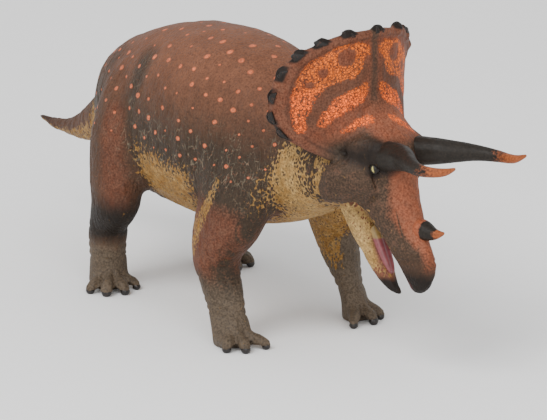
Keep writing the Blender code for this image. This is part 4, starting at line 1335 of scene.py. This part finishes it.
class FIGURE_OT_stage(bpy.types.Operator):
    """Lays the white floor, and sets the soft lights and the camera"""

    bl_idname = "figure.stage"
    bl_label = "Stage"

    def execute(self, context):
        settings = context.scene.figure_stage
        bpy.ops.object.select_all(action="DESELECT")
        bpy.ops.mesh.primitive_plane_add(size=FLOOR_SIZE)
        floor = context.object
        floor.name = "floor"
        floor.data.materials.append(stage_paint(settings))
        world = bpy.data.worlds.new("white_room")
        context.scene.world = world
        world.use_nodes = True
        world.node_tree.nodes["Background"].inputs["Color"].default_value = (1.0, 1.0, 1.0, 1.0)
        world.node_tree.nodes["Background"].inputs["Strength"].default_value = settings.sky
        for name, (place, share) in LIGHTS.items():
            light = bpy.data.lights.new(name, "AREA")
            light.energy = settings.key_power * share
            light.size = LIGHT_SIZE
            lamp = bpy.data.objects.new(name, light)
            context.scene.collection.objects.link(lamp)
            lamp.location = place
            lamp.rotation_euler = (Vector(place) - Vector(LIGHT_AIM)).to_track_quat("Z", "Y").to_euler()
        set_camera(context.scene)
        return {"FINISHED"}


# The photograph is 547 by 420 pixels, and the layout's origin lies at this pixel of it
PHOTO_WIDTH = 547
PHOTO_HEIGHT = 420
ORIGIN_PIXEL = (232.87, 302.69)
PIXELS_PER_MM = 3.815
CAMERA_AZIMUTH = 58.0
CAMERA_ELEVATION = 16.5
CAMERA_DISTANCE = 1400.0
CAMERA_DEPTH = 20.0
SENSOR_WIDTH = 36.0


def set_camera(scene):
    """Sets the camera at the photograph's angle and framing."""
    azimuth, elevation = math.radians(CAMERA_AZIMUTH), math.radians(CAMERA_ELEVATION)
    right = Vector((math.cos(azimuth), math.sin(azimuth), 0.0))
    level = math.cos(elevation)
    back = Vector((math.sin(azimuth) * level, -math.cos(azimuth) * level, math.sin(elevation)))
    up = back.cross(right)
    sideways = (PHOTO_WIDTH / 2 - ORIGIN_PIXEL[0]) / PIXELS_PER_MM
    upward = (ORIGIN_PIXEL[1] - PHOTO_HEIGHT / 2) / PIXELS_PER_MM
    centre = Vector(layout_origin()) + right * sideways + up * upward + back * CAMERA_DEPTH
    camera = bpy.data.objects.new("camera", bpy.data.cameras.new("camera"))
    scene.collection.objects.link(camera)
    camera.location = (centre + back * CAMERA_DISTANCE) * MM
    camera.rotation_euler = back.to_track_quat("Z", "Y").to_euler()
    camera.data.sensor_width = SENSOR_WIDTH
    camera.data.lens = SENSOR_WIDTH * CAMERA_DISTANCE * PIXELS_PER_MM / PHOTO_WIDTH
    scene.camera = camera


class FIGURE_PT_parts(bpy.types.Panel):
    """The figure's settings and the steps that build it"""

    bl_idname = "FIGURE_PT_parts"
    bl_label = "Horned dinosaur figure"
    bl_space_type = "VIEW_3D"
    bl_region_type = "UI"
    bl_category = "Figure"

    def draw(self, context):
        for prefix, operators in STEPS:
            box = self.layout.box()
            settings = getattr(context.scene, prefix)
            for name in settings.bl_rna.properties.keys():
                if name not in ("name", "rna_type"):
                    box.prop(settings, name)
            for operator in operators:
                box.operator(operator.bl_idname)


STEPS = [
    ("figure_hide", [FIGURE_OT_body_hide, FIGURE_OT_head_hide]),
    ("figure_horns", [FIGURE_OT_horns]),
    ("figure_knobs", [FIGURE_OT_knobs]),
    ("figure_nails", [FIGURE_OT_nails]),
    ("figure_eyes", [FIGURE_OT_eyes]),
    ("figure_tongue", [FIGURE_OT_tongue]),
    ("figure_stage", [FIGURE_OT_stage]),
]
SETTINGS = {
    "figure_hide": HideSettings,
    "figure_horns": HornSettings,
    "figure_knobs": KnobSettings,
    "figure_nails": NailSettings,
    "figure_eyes": EyeSettings,
    "figure_tongue": TongueSettings,
    "figure_stage": StageSettings,
}
OPERATORS = [operator for _, operators in STEPS for operator in operators]
CLASSES = [*SETTINGS.values(), *OPERATORS, FIGURE_PT_parts]


def register():
    """Registers the classes and puts their settings on the scene."""
    for cls in CLASSES:
        bpy.utils.register_class(cls)
    for name, group in SETTINGS.items():
        setattr(bpy.types.Scene, name, PointerProperty(type=group))


def unregister():
    """Takes the settings and the classes away again."""
    for name in SETTINGS:
        delattr(bpy.types.Scene, name)
    for cls in reversed(CLASSES):
        bpy.utils.unregister_class(cls)


def main():
    """Builds the figure and its stage."""
    bpy.ops.object.select_all(action="DESELECT")
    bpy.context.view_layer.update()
    register()
    bpy.ops.figure.stage()
    bpy.ops.figure.body_hide()
    bpy.ops.figure.head_hide()
    bpy.ops.figure.horns()
    bpy.ops.figure.knobs()
    bpy.ops.figure.nails()
    bpy.ops.figure.eyes()
    bpy.ops.figure.tongue()


if __name__ == "__main__":
    main()
